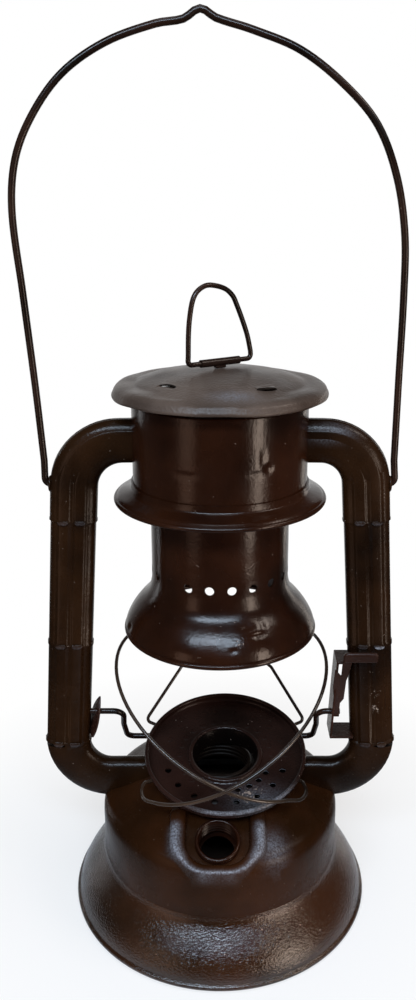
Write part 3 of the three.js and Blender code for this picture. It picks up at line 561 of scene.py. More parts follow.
# %% The crimps' pinched tabs, and a line beside the path for the seams
def beside(side, points, widths, reach):
    """Points on the outer side of a path, further out where the section is wider."""
    line = []
    for i, here in enumerate(points):
        along = (points[min(i + 1, len(points) - 1)] - points[max(i - 1, 0)]).normalized()
        line.append(here + Vector((-along.z, 0, along.x)) * side * reach * widths[i])
    return line


def pinch(side, height, across, face):
    """A short lip that the crimping tool has pinched up at the end of a rib."""
    outline = [(-2.5, 0.9), (-2.2, -0.5), (-1.2, -1.1), (1.2, -1.1), (2.2, -0.5), (2.5, 0.9)]
    tab = board("tab", [Vector((x, -0.6, z)) for x, z in outline], Vector((0, 1.2, 0)))
    soften(tab, 0.45, 3)
    nod = turned_by("X", 14 * face) @ turned_by("Z", -9 * math.copysign(1, across) * face)
    spot = Vector((side * tube_x(height) + across, face * 6.1, height))
    pale = 1 if side > 0 and across > 0 and height == CRIMPS[1] else 0.12
    mark(tab, "wear_and_sheen", lambda corner: pale if corner.z < 0 else 0)
    return place(tab, Matrix.Translation(spot * MM) @ nod)


# %% Sweep both tubes
SEAM_REACH, RIB_PLACE, EYELET_HEIGHT = 9.75, 3.6, 196


def side_tube(side):
    points, widths = tube_run(side)
    split = next(i for i, point in enumerate(points) if point.z < 75)
    upper, lower = slice(2, 17), slice(split, None)
    over_ribs = [0.985 * w for w in widths[:12]] + [0.975, 0.96, 0.89]
    bend = tube("elbow", points[:15], oval(10, 7.0, 0), over_ribs)
    # A painted grey sheen on the top of the right tube's upper elbow.
    if side > 0:
        mark(bend, "wear_and_sheen", lambda p: 0.6 * math.exp(-(((p.x - 44) / 8) ** 2 + ((p.z - 219) / 3) ** 2)))
    parts = [bend, tube("tube", points[:split + 1], oval(10, 6.3), widths[:split + 1]),
             tube("elbow", points[lower], oval(10, 6.4, 0), widths[lower])]
    for part in (upper, lower):
        parts.append(wire("seam", beside(side, points[part], widths[part], SEAM_REACH), 0.9))
    for height in CRIMPS:
        for across in (-RIB_PLACE, RIB_PLACE):
            parts.append(pinch(side, height, across, -1))
            parts.append(pinch(side, height, across, 1))
    face = tube_x(EYELET_HEIGHT) + 10
    eyelet = wire("eyelet", arc(at(0, 0), 2.9, 0, 360, 32), 1.2)
    place(eyelet, Matrix.Translation(Vector((side * face, 0, EYELET_HEIGHT)) * MM) @ turned_by("Z", 90))
    return together("air_tube", [*parts, eyelet])


for side, where in ((-1, "left"), (1, "right")):
    piece = side_tube(side)
    piece.name = "air_tube_" + where
    keep(piece, "frame", "enamel", "side_tube_" + where)

# %% [markdown]
# ## Dents
# Thin tin never stays true. A dent is a place where the points of a finished wall are moved
# towards the lamp's axis, most in the middle and fading out at its edge. It has to come before
# any hole is cut, while the wall still has its even mesh.

# %% A dent in an upright wall
INNERMOST_WALL = 25


def dent(piece, turn, height, half_width, half_height, depth):
    """Pushes an outer wall in, round a place given by its turn from the front and its height."""
    heading = math.radians(turn)
    for point in piece.data.vertices:
        x, y, z = point.co / MM
        radius = math.hypot(x, y)
        across = (math.atan2(x, -y) - heading) * radius / half_width
        up = (z - height) / half_height
        share = max(0, 1 - across**2 - up**2)
        if share > 0 and radius > INNERMOST_WALL:
            push = 1 - depth * share**1.5 / radius
            point.co.x *= push
            point.co.y *= push


# %% [markdown]
# ## The canopy
# The canopy is a plain cylinder with its top edge turned in. A separate rim is crimped on below, a
# short collar that opens into a cone with a rolled edge. A guide ring sits inside, and the chimney
# slides in it. All three are spun. The cylinder is dented while its mesh is even, and then gets an
# oval mouth on each side for the tubes.

# %% Cylinder, flared rim and guide
canopy_line = [at(33.9, 232.6), at(35.2, 232.6)]
canopy_line += smooth([at(35.9, 232.5), at(36.35, 232.1), at(36.5, 231.4)], 0.3)
canopy_line += smooth([at(36.5, 230), at(36.5, 193.4)], 1.3)
canopy_drum = spun("canopy_shell", sheet_loop(canopy_line), steps=200)
CANOPY_DENTS = ((31, 211.7, 2.6, 2.2, 0.9), (-21, 209.6, 9, 1.5, 0.4), (22, 209.9, 5, 1.4, 0.35),
                (27, 216, 1.6, 5, 0.3))
for where in CANOPY_DENTS:
    dent(canopy_drum, *where)
mouths = []
for side in (-1, 1):
    run = [Vector((side * 30, 0, TUBE_TOP)), Vector((side * 45, 0, TUBE_TOP))]
    mouths.append(tube("mouth", run, oval(10.0, 7.05, 0)))
cut(canopy_drum, mouths)
rim_line = [at(37.3, 198.4)]
rim_line += smooth([at(37.25, 196.6), at(37.5, 195.6), at(38.3, 194.9)], 0.4)
rim_line += smooth([at(40.6, 194.0), at(42.6, 193.1), at(43.5, 192.25)], 0.5)
flare = spun("canopy_rim", sheet_loop(rim_line, roll=(at(43.62, 191.2), 1.03)), steps=200)
guide_line = [at(35.5, 194.1)]
guide_line += smooth([at(35.5, 191.2), at(35.1, 190.3), at(34.3, 190)], 0.4)
guide_line += smooth([at(31.4, 190), at(30.4, 190.3), at(30.05, 191.2)], 0.4) + [at(30, 195.6)]
guide = spun("chimney_ring", sheet_loop(guide_line), steps=128)
keep(canopy_drum, "frame", "enamel", "canopy")
keep(flare, "frame", "enamel", "canopy_skirt")
keep(guide, "frame", "enamel", "chimney_guide")

# %% [markdown]
# ## The chimney and its bell
# The chimney slides up inside the canopy, and its lower end is spun out to a bell that sits over
# the globe. A row of air holes runs round it just above the bell. They are drilled through the
# wall, as the photograph shows daylight through them, and soot has closed one of them.

# %% Spin the chimney and drill its air holes
bell_line = [at(32.2, 196.6), at(30.4, 196.6)]
bell_line += smooth([at(29.7, 196.4), at(29.4, 195.9), at(29.3, 195)], 0.3)
bell_line += [at(29.3, z) for z in (190, 180, 170, 163.2, 161, 159.6, 158.2)]
bell_line += smooth([at(29.3, 156.2), at(29.6, 153.6), at(30.4, 150.6), at(32.2, 147.6), at(35.3, 144.3),
                     at(38.1, 140.6), at(40.2, 136.8), at(41.1, 134.0), at(41.0, 133.2)], 0.8)
chimney = spun("chimney", sheet_loop(bell_line, roll=(at(40.55, 132.2), 1.15)), steps=200)
CHIMNEY_DENTS = ((19, 145.5, 4, 1.3, 0.5), (25, 142.5, 5, 1.2, 0.55), (30, 145, 1.6, 3, 0.4),
                 (8, 138.4, 1.6, 1.1, 0.6), (-72, 136, 3, 1.8, 0.8))
for where in CHIMNEY_DENTS:
    dent(chimney, *where)
HOLES, CLOGGED = 20, 18
height = Vector((0, 0, 159.6))
holes = []
for k in range(HOLES):
    if k == CLOGGED:
        continue
    turn = math.radians(-8.4) + k * math.tau / HOLES
    out = Vector((math.sin(turn), -math.cos(turn), 0))
    holes.append(rod(1.9, out * 27 + height, out * 31 + height, 28))
cut(chimney, holes)
keep(chimney, "hood", "enamel", "chimney_bell")

# %% [markdown]
# ## The cap
# The cap is a shallow dome with a flatter brim and a rolled edge, and a knock has flattened its
# front. Two tongues are lanced out of it where the legs below are clinched, each a leaf with one
# edge moved. The dome is spun, its points are moved for the flat and for the waves of thin sheet,
# the places of the tongues are refined, and a sharp cutter opens each slit before its edge moves.

# %% Spin the dome
cap_line = smooth([at(0.02, 245.2), at(8, 245.05), at(18, 244.1), at(26.5, 242.7), at(31.5, 241.3),
                   at(33.9, 240.3)], 1.0)[:-1]
cap_line += smooth([at(33.9, 240.3), at(34.8, 239.85), at(35.8, 239.75), at(38.4, 239.75),
                    at(41.3, 239.25), at(43.2, 238.0), at(43.9, 236.6)], 0.6)
dome = spun("cap", sheet_loop(cap_line, roll=(at(43.35, 235.5), 1.0)), steps=200)


FLAT_START, FLAT_END, FLAT_HEIGHT, FLAT_FALL = 28, 41.8, 242.45, 0.255


def chord_rise(radius):
    """How far the flattened front lies above the crease, at a distance from the axis."""
    for a, b in zip(cap_line, cap_line[1:]):
        if FLAT_START < radius < FLAT_END and a.x <= radius < b.x:
            along = (radius - a.x) / (b.x - a.x)
            return FLAT_HEIGHT - (radius - FLAT_START) * FLAT_FALL - a.z - (b.z - a.z) * along
    return 0


for point in dome.data.vertices:
    x, y, z = point.co / MM
    if y < 0:
        z += max(chord_rise(math.hypot(x, y)), 0) * eased((31 - abs(x)) / 10)
        point.co.z = z * MM
    facet = 242.75 + (y + 26.5) * 0.3 + max(abs(x) - 24, 0) * 0.5
    if y < -25 and math.hypot(x, y) < 43 and z > 238:
        point.co.z = min(z, 0.05 - soft_max(-z, -facet, 0.02)) * MM
    turn, brim = math.atan2(y, x), max(math.hypot(x, y) - 33, 0) / 11
    ripple = 0.3 * math.sin(3 * turn + 0.8) + 0.16 * math.sin(7 * turn) + 0.08 * math.sin(13 * turn + 2)
    wave = 0.11 * math.sin(x / 4.3 + 1) * math.cos(y / 3.7)
    point.co.z += (ripple * brim + wave * (1 - min(brim, 1))) * MM


# %% Lift the lanced tongues and slit them open
def lance(piece, middle, turn, lift, length=8.6, width=3.6):
    """A leaf-shaped tongue: one long edge of a slit moved out of the dome, or into it."""
    lay = Matrix.Translation(middle) @ turned_by("Z", turn)
    back = lay.inverted()
    pick(piece)
    bpy.ops.object.mode_set(mode="EDIT")
    bpy.ops.mesh.select_mode(type="FACE")
    bpy.ops.mesh.select_all(action="DESELECT")
    bpy.ops.object.mode_set(mode="OBJECT")
    for face in piece.data.polygons:
        local = back @ (face.center / MM)
        face.select = abs(local.x) < length * 0.75 and abs(local.y) < width * 1.6
    bpy.ops.object.mode_set(mode="EDIT")
    bpy.ops.mesh.subdivide(number_cuts=3, smoothness=0)
    bpy.ops.object.mode_set(mode="OBJECT")

    def slit_line(x):
        return -1.3 * (1 - (2 * x / length) ** 2)

    half_slit, through = 0.2, 4
    across = [length * (k / 16 - 0.5) for k in range(17)]
    outline = [Vector((x, slit_line(x) - half_slit, -through)) for x in across]
    outline += [Vector((x, slit_line(x) + half_slit, -through)) for x in across[::-1]]
    cut(piece, [board("slit", [lay @ p for p in outline], Vector((0, 0, 2 * through)))])
    for point in piece.data.vertices:
        local = back @ (point.co / MM)
        along = 1 - (2 * local.x / length) ** 2
        behind = local.y - slit_line(local.x)
        if along > 0 and 0 < behind < width and abs(local.z) < through:
            point.co.z += lift * MM * along**0.6 * (1 - eased(behind / width))

    def in_slit(spot):
        local = back @ spot
        return eased(1.4 - abs(local.y - slit_line(local.x)) / 0.3) if abs(local.x) < length / 2 else 0

    # The slit's edges are painted black, as shade in the opening.
    return mark(piece, "shade_painted", in_slit)


lance(dome, Vector((17.9, -25.6, 241.9)), 24, 1.3)
lance(dome, Vector((-20.2, -21.4, 242.1)), 142, -1.1)
# A painted highlight: the front flat of the cap gets a patch of speckled grey.
mark(dome, "wear_and_sheen", lambda p: 0.42 * math.exp(-((p.x - 5) / 8) ** 2 - ((p.y + 34) / 4) ** 2))
keep(dome, "hood", "dull_enamel", "hood_cap")

# %% [markdown]
# ## Legs, sleeve and lift ring
# Three strips carry the cap above the chimney. On top, a short sleeve of rolled sheet holds a
# wire ring that is pulled to lift the hood. The ring's outline is lopsided in the photograph, so
# it is drawn through measured places.

# %% Legs inside the chimney
LEG_HALF = Vector((0, 3.5, 0))
leg_shape = [at(27.3, 184.7), at(27.3, 240.8), at(28.0, 241.3), at(34.0, 240.0), at(34.0, 239.3),
             at(28.6, 240.5), at(28.0, 239.9), at(28.0, 184.7)]
for turn, where in ((-38, "left"), (34, "right"), (180, "back")):
    leg = board("leg_" + where, [p - LEG_HALF for p in leg_shape], LEG_HALF * 2)
    soften(leg, 0.15)
    place(leg, turned_by("Z", turn - 90))
    keep(leg, "hood", "enamel", "hood_leg_" + where)

# %% Sleeve and ring, drawn along X and turned on the cap
RING_TURN, RING_AXIS = 35, 247.8
ring_place = Matrix.Translation(Vector((0, 0, RING_AXIS)) * MM) @ turned_by("Z", RING_TURN)
rolled = arc(at(0, 0), 1.6, -80, 336, 28)
sleeve = board("sleeve", rolled + [p * 0.72 for p in rolled[::-1]], Vector((0, 19.0, 0)))
place(sleeve, ring_place @ turned_by("Z", -90) @ Matrix.Translation((0, -9.5 * MM, 0)))
foot_corners = ((-2.4, -1.1), (2.4, -1.1), (2.4, 1.1), (-2.4, 1.1))
foot = board("sleeve_foot", [Vector((x, y, -2.35)) for x, y in foot_corners], Vector((0, 0, 1.1)))
soften(foot, 0.25)
place(foot, ring_place)
sleeve = together("ring_holder", [sleeve, foot])
keep(sleeve, "hood", "dull_enamel", "ring_sleeve")
HALF, RISE = 15.6, 30.8
ring_run = smooth([Vector((HALF * s, 0, RISE * t)) for s, t in (
    (-0.985, 0.1), (-0.97, 0.4), (-0.93, 0.61), (-0.84, 0.82), (-0.71, 0.93), (-0.46, 1), (-0.2, 1),
    (0.17, 0.945), (0.4, 0.85), (0.52, 0.74), (0.71, 0.53), (0.88, 0.31), (0.985, 0.1))])
left = bent([(Vector((0, 0, 0)), 0), (Vector((-HALF, 0, 0)), 1.8), (ring_run[0], 0)])[:-1]
right = bent([(Vector((1, 0, 0)), 0), (Vector((HALF, 0, 0)), 1.8), (ring_run[-1], 0)])[:-1]
ring = wire("pull_ring", left + ring_run + right[::-1], 2.1)
place(ring, ring_place)
keep(ring, "ring", "dark_wire", "lift_ring")

# %% [markdown]
# ## The bail
# The carrying bail is one length of thick wire, sprung into the eyelets. Use has left it uneven:
# the left shoulder stands wider than the right, and there is a small kink at the top where it
# hangs on a nail. It is drawn through measured places, with a tight bend at each end.

# %% Bail
STAND, BAIL_RISE, BAIL_PIVOT = 73.62, 183, 196
bail_run = smooth([Vector((STAND * s, 0, BAIL_RISE * t)) for s, t in (
    (-0.999, 0.055), (-1.027, 0.23), (-1.067, 0.437), (-1.099, 0.607), (-1.067, 0.711),
    (-0.971, 0.796), (-0.808, 0.878), (-0.583, 0.937), (-0.326, 0.972), (-0.184, 0.981), (-0.1, 1),
    (-0.021, 0.983), (0.163, 0.961), (0.408, 0.923), (0.638, 0.856), (0.814, 0.779), (0.926, 0.675),
    (0.983, 0.557), (0.994, 0.432), (0.991, 0.24), (0.989, 0.055))], 3)


def bail_hook(side, leg):
    """The tight bend from the eyelet up into a leg of the bail."""
    tip, corner = Vector((side * (STAND - 4.2), 0, 0)), Vector((side * STAND, 0, 0))
    return bent([(tip, 0), (corner, 2.6), (leg, 0)])[:-1]


handle_run = bail_hook(-1, bail_run[0]) + bail_run + bail_hook(1, bail_run[-1])[::-1]
handle = wire("handle", handle_run, 3)
place(handle, Matrix.Translation((0, 0, BAIL_PIVOT * MM)))
keep(handle, "bail", "dark_wire", "bail")

# %% [markdown]
# ## The lift crank and its lever
# One bent wire runs from the clip on the left tube, under the globe plate, and out through the
# bracket on the right, where a flat lever is curled round its end. Pressing the lever turns the
# wire and lifts the plate.

# %% Crank wire
PIVOT, ROD_BACK, CRANK_RISE, ARM = 88, 13, 21.2, 43.6


def crank_side(side):
    """The two corners of an arm of the crank, with a slight bow between them."""
    bow = Vector((side * (ARM + 0.9), ROD_BACK * 0.5, -CRANK_RISE * 0.5))
    return [(Vector((side * ARM, 0, 0)), 4.6), (bow, 9),
            (Vector((side * ARM, ROD_BACK, -CRANK_RISE)), 3.6)]


crank_ends = [(Vector((x, 0, 0)), 0) for x in (-60.1, 54.2)]
crank_line = bent([crank_ends[0], *crank_side(-1), *crank_side(1)[::-1], crank_ends[1]])
crank = wire("crank_wire", crank_line, 2.6)
place(crank, Matrix.Translation((0, 0, PIVOT * MM)))
keep(crank, "crank", "dark_wire", "lift_crank")

# %% Lever: a leaning strip with a thumb bar, and an eye curled round the wire
LEVER_LEFT = 51.0
lean = math.atan2(8.3, 34.2)
up = Vector((0, -math.sin(lean), math.cos(lean)))
sheet_face = Vector((0, math.cos(lean), math.sin(lean)))


def on_lever(shape, front):
    """A shape drawn in the X-Z plane, leaned with the lever."""
    return [Vector((p.x, front, 0)) + up * p.z for p in shape]


strip_shape = [at(50.9, 0), at(53.6, 0), at(53.7, 6.4), at(55.2, 9.0), at(55.6, 19.6), at(56.5, 23.5),
               at(57.4, 29.6), at(55.8, 31.6), at(53.4, 31.0), at(53.2, 22.3), at(50.3, 25.9),
               at(49.9, 16.5), at(50.7, 8)]
strip = board("lever", on_lever(strip_shape, -2.45), sheet_face)
soften(strip, 0.25)
thumb = [at(53.4, 29.8), *arc(at(55.6, 33.0), 2.2, 180, -90, 6)]
thumb += [*arc(at(67.0, 33.5), 1.7, 90, -90, 6), at(68.7, 30.0), at(57.2, 30.0)]
pad = board("thumb", on_lever(thumb, -3.0), sheet_face * 2.0)
soften(pad, 0.95, 5)
EYE_OUTER, EYE_INNER = 2.45, 1.55
curl = arc(at(0, 0), EYE_OUTER, 180, 300, 24)
eye = board("eye", curl + [p * (EYE_INNER / EYE_OUTER) for p in curl[::-1]], Vector((0, 2.7, 0)))
place(eye, turned_by("Z", -90))
place(eye, Matrix.Translation((LEVER_LEFT * MM, 0, 0)))
lever = together("thumb_lever", [strip, pad, eye])
place(lever, Matrix.Translation((0, 0, PIVOT * MM)))
keep(lever, "crank", "enamel", "lift_lever")

# %% [markdown]
# ## Bracket and clip
# The bracket is a strip bent to a C and soldered to the right tube. The clip on the left is a
# leaf-shaped tab that leans away from the tube and is turned a little to the front. Both are flat
# outlines given a thickness, with their edges rounded and a hole drilled for the wire.

# %% Bracket
LOW, HIGH, TUBE_HALF = 77.6, 115.6, 9.0
low_end, high_end = tube_x(LOW) - TUBE_HALF, tube_x(HIGH) - TUBE_HALF
bracket_shape = [at(49.3, LOW), at(low_end, LOW), at(low_end, LOW + 1), at(50.3, LOW + 1),
                 at(52.3, HIGH - 1), at(high_end, HIGH - 1), at(high_end, HIGH), at(51.3, HIGH)]
BRACKET_HALF = Vector((0, 6, 0))
bracket = board("lever_carrier", [p - BRACKET_HALF for p in bracket_shape], BRACKET_HALF * 2)
soften(bracket, 0.35, 3)
cut(bracket, [rod(1.6, Vector((48, 0, PIVOT)), Vector((54, 0, PIVOT)))])
keep(bracket, "frame", "enamel", "lever_bracket")

# %% Clip: half a leaf drawn as one curve, then mirrored
CLIP_FOOT, CLIP_HEIGHT = 76.8, 19
face = tube_x(CLIP_FOOT) - 10
clip_lean = math.atan2(5, CLIP_HEIGHT)
rise = Vector((math.sin(clip_lean), 0, math.cos(clip_lean)))
across_tab = Vector((math.cos(clip_lean), 0, -math.sin(clip_lean)))
leaf = []
for k in range(25):
    t = k / 24
    half_width = 3 * (1 - t) ** 2 + 18 * t * (1 - t)
    leaf.append((-half_width, CLIP_HEIGHT * (t * (1 - t) + t * t)))
leaf += [(-w, h) for w, h in leaf[-2::-1]]
clip_shape = [Vector((-face - 0.45, w, CLIP_FOOT)) + rise * h for w, h in leaf]
clip = board("wire_clip", clip_shape, across_tab * 0.9)
soften(clip, 0.25)
cut(clip, [rod(1.7, Vector((-62, 0, PIVOT)), Vector((-48, 0, PIVOT)))])
tab_middle = Matrix.Translation((-56.5 * MM, 0, 0))
place(clip, tab_middle @ turned_by("Z", 22) @ tab_middle.inverted())
keep(clip, "frame", "enamel", "pivot_clip")

# %% [markdown]
# ## The globe plate
# The plate is a shallow dish with a rolled rim, a raised collar in its middle and two rings of
# small air holes. It is spun flat, drilled, and then leaned to the slope that the photograph
# shows. Dirt closes some of the holes with a thin film. Under each open one sits a black cup of
# painted shade, and the open ones at the right get a pale grey ring at their edge. Two loops under
# the plate hold the crank's wire. A throat painted black as shade hangs under the collar, cut off
# level above the burner's seat.

# %% Dish and air holes
PLATE_TILT = 11.7
plate_frame = Matrix.Translation(Vector((2.4, -3, 69.9))) @ turned_by("X", PLATE_TILT)
DISH_LEVEL = -3.7
dish_line = [at(14.9, -1.6)]
dish_line += smooth([at(15.1, -2.0), at(15.9, -2.5), at(16.5, -3.1), at(17.4, DISH_LEVEL)], 0.4)
dish_line += [at(radius, DISH_LEVEL) for radius in (20, 24, 28, 32)]
dish_line += smooth([at(34, DISH_LEVEL), at(35.2, -3.4), at(35.9, -2.6), at(36.1, -1.4)], 0.4)
dish_line += [at(36.1, -0.9)]
dish = spun("vent_dish", sheet_loop(dish_line, wall=-WALL, roll=(at(35.7, -0.05), 0.95)), steps=160)
OUTER_RING, INNER_RING = 27.2, 20.8
drills, clogged, open_holes = [], [], []
for count, circle, first in ((18, OUTER_RING, 10), (24, INNER_RING, 0)):
    for k in range(count):
        turn = math.radians(first + k * 360 / count)
        spot = Vector((circle * math.sin(turn), -circle * math.cos(turn), 0))
        drills.append(rod(1.45, spot + Vector((0, 0, -6)), spot + Vector((0, 0, -1)), 20))
        if circle == OUTER_RING:
            clear = math.cos(turn) > 0.05
        else:
            clear = math.cos(turn) > 0.1 and math.sin(turn) > 0.2
        (open_holes if clear else clogged).append(spot)
cut(dish, drills)
print("air holes:", len(open_holes), "open,", len(clogged), "clogged")

# %% What the holes hold: a film of dirt, or a cup of painted shade and a pale ring
film_shape = [at(0.02, -3.55), at(0.9, -3.4), at(1.5, -3.2), at(1.5, -3.5), at(0.9, -3.65), at(0.02, -3.7)]
cup_shape = [at(0.02, -5.4), at(1.7, -5.4), at(1.7, -4.5), at(1.95, -4.4), at(2.0, -5.7), at(0.02, -5.7)]
edge_shape = arc(at(1.55, -3.68), 0.16, 0, 360, 8)[:-1]
fills = []
for spot in clogged:
    film = spun("clot", film_shape, steps=14)
    fills.append(place(film, Matrix.Translation(spot * MM)))
for spot in open_holes:
    # Painted shade: a black cup below each open hole.
    cup = mark(spun("shade_cup", cup_shape, steps=16), "shade_painted", lambda corner: 1)
    fills.append(place(cup, Matrix.Translation(spot * MM)))
    # The open holes at the right get a pale grey ring at their edge.
    if spot.x > 1:
        edge = mark(spun("pale_ring", edge_shape, steps=24), "wear_and_sheen", lambda corner: 0.9)
        fills.append(place(edge, Matrix.Translation(spot * MM)))

# %% Collar, the loops that hang the plate, the painted sheen and the throat
collar_ring = spun("collar_ring", arc(at(15.95, -2.3), 1.15, 0, 360, 16)[:-1], steps=128)
outer, inner = arc(at(0, 0), 2.3, 180, 180, 12), arc(at(0, 0), 1.65, 0, -180, 12)
loop_shape = [at(-2.3, 1.2), *outer, at(2.3, 1.2), at(1.65, 1.2), *inner, at(-1.65, 1.2)]
loops = []
for side in (-1, 1):
    wire_spot = plate_frame.inverted() @ Vector((side * 28, ROD_BACK, PIVOT - CRANK_RISE))
    outline = [wire_spot + Vector((-2, p.x, p.z)) for p in loop_shape]
    loops.append(board("loop", outline, Vector((4, 0, 0))))


def plate_sheen(spot):
    """A painted grey sheen on the plate's front right corner, and a painted highlight along its front rim.
    """
    corner = 0.42 * math.exp(-((spot.x - 14) / 11) ** 2 - ((spot.y + 27) / 8) ** 2)
    if math.hypot(spot.x, spot.y) <= 34.9 or spot.z <= -0.6:
        return corner
    return max(corner, 0.6 * eased((-spot.y - 18) / 12) * eased((spot.x + 20) / 14))


# Painted sheen on the plate's front right and a painted highlight along its front rim.
mark(dish, "wear_and_sheen", plate_sheen)
dish = together("vent_dish", [dish, collar_ring, *fills, *loops])
place(dish, in_metres(plate_frame))
throat_line = [at(15.2, -2.0), at(14.7, -2.6), at(14.2, -4), at(13.3, -6.3), at(12.8, -8.5), at(12.6, -10)]
throat = spun("throat", sheet_loop(throat_line, wall=0.5), steps=128)
place(throat, in_metres(plate_frame))
THROAT_END = 64.1
cut(throat, [rod(40, Vector((0, 0, 40)), Vector((0, 0, THROAT_END)), 48)])
# The throat is painted black as shade.
mark(throat, "shade_painted", lambda corner: 0.9)
dish = together("vent_dish", [dish, throat])
keep(dish, "plate", "enamel", "globe_plate")

# %% [markdown]
# ## The guard wires
# Two wires cross in front of and behind the globe. Each starts in the plate's rim at the front,
# loops out, sweeps up round one side and comes back down to the rim behind. The sweep is a tilted
# circle, so its height follows a cosine of the turn round the lamp.

# %% Guard wires
RIM_OUT, RIM_IN = 37.2, 34.9


def on_rim(reach, turn):
    """A place at the plate's rim, at a turn from the front."""
    return plate_frame @ Vector((reach * math.sin(turn), -reach * math.cos(turn), -1.5))


def guard(side):
    deep = 45.7 + side * 1.1
    first, last = -36, 212 if side < 0 else 197

    def sweep(degrees):
        turn = math.radians(degrees)
        height = 91 + 26 * math.cos(turn - math.radians(118))
        return Vector((0.6 + side * 46.6 * math.sin(turn), -deep * math.cos(turn), height))

    run = [sweep(first + (last - first) * k / 60) for k in range(61)]
    hook, heel = -side * math.radians(63), -side * math.radians(118)
    front = smooth([on_rim(RIM_IN, hook), on_rim(RIM_OUT, hook), Vector((1.7 - side * 34.6, -21.6, 65.7)),
                    Vector((1.7 - side * 35.6, -25.6, 64.7)), Vector((1.2 - side * 33.2, -32, 65.2)),
                    run[0]], 0.8)
    back = bent([(run[-1], 0), (on_rim(42.7, heel), 2.4), (on_rim(RIM_IN, heel), 0)])
    return wire("guard", front[:-1] + run + back[1:], 1.55)


for side, where in ((-1, "left"), (1, "right")):
    piece = guard(side)
    piece.name = "globe_guard_" + where
    keep(piece, "plate", "dark_wire", "guard_wire_" + where)

# %% [markdown]
# ## Finishes
# The lamp is dipped in one dark brown enamel. Thick enamel flows into a fine orange peel and longer
# waves, which show only in the highlights, so they are bumps and not colours. The colour drifts
# between nearly black and a warm brown. Where sheet is crimped over sheet, and in a few single
# spots, the enamel flakes to a pale primer. Marked points turn a speckled grey: worn metal on the
# tubes' tabs, a pale ring at some holes, and painted sheen and highlights on the tank's ridge, the
# right elbow, the plate and the front of the cap. Other marked points turn black and lose their
# shine, which is painted shade in the cap's slits, under the plate's holes and in its throat. The
# burner's seat and collar get a near-black copy of the enamel, also painted shade, and the cap's
# lighter grey-brown paints in a reflection of the sky. All patterns read object coordinates, so
# they stay put when the lamp's parts move.

# %% Material tools
class Recipe:
    """The nodes of one material or of the world, with short ways to add and link them."""

    def __init__(self, tree):
        self.nodes, self.links = tree.nodes, tree.links

    def add(self, kind, **settings):
        node = self.nodes.new("ShaderNode" + kind)
        for name, value in settings.items():
            setattr(node, name, value)
        return node

    def feed(self, socket, value):
        """Links an output to a socket, or writes a number or a colour into it."""
        if isinstance(value, bpy.types.NodeSocket):
            self.links.new(value, socket)
        else:
            socket.default_value = (*value, 1) if isinstance(value, tuple) else value

    def made(self, node, *values):
        """Feeds a node's inputs in their order, and gives its first output."""
        for socket, value in zip(node.inputs, values):
            self.feed(socket, value)
        return node.outputs[0]

    def space(self, output="Object"):
        return self.add("TexCoord").outputs[output]

    def noise(self, space, scale, detail=3, roughness=0.5):
        node = self.add("TexNoise")
        for name, value in (("Vector", space), ("Scale", scale), ("Detail", detail),
                            ("Roughness", roughness)):
            self.feed(node.inputs[name], value)
        return node.outputs["Fac"]

    def ramp(self, value, stops):
        node = self.add("ValToRGB")
        band = node.color_ramp
        for element, (position, colour) in zip(band.elements, (stops[0], stops[-1])):
            element.position, element.color = position, (*colour, 1)
        for position, colour in stops[1:-1]:
            band.elements.new(position).color = (*colour, 1)
        return self.made(node, value)

    def spread(self, value, low, high, out_low, out_high):
        return self.made(self.add("MapRange"), value, low, high, out_low, out_high)

    def maths(self, kind, a, *b):
        return self.made(self.add("Math", operation=kind), a, *b)

    def bump(self, height, distance, strength, under=None):
        node = self.add("Bump")
        for name, value in (("Distance", distance), ("Strength", strength), ("Height", height)):
            self.feed(node.inputs[name], value)
        if under:
            self.feed(node.inputs["Normal"], under)
        return node.outputs["Normal"]

    def mixed(self, share, a, b):
        node = self.add("Mix", data_type="RGBA")
        for name, value in (("Factor", share), ("A", a), ("B", b)):
            self.feed(node.inputs[name], value)
        return node.outputs["Result"]


def new_finish(name):
    finish = bpy.data.materials.new(name)
    finish.use_nodes = True
    recipe = Recipe(finish.node_tree)
    return finish, recipe, recipe.nodes["Principled BSDF"].inputs


# %% Enamel, in a few variants
# The grey is worn metal on the tabs and painted sheen and highlights elsewhere; the near-black is painted
# shade.
SHEEN_AND_WEAR_GREY, SHADE_BLACK, PRIMER = (0.21, 0.225, 0.26), (0.0012, 0.001, 0.0009), (0.42, 0.33, 0.27)


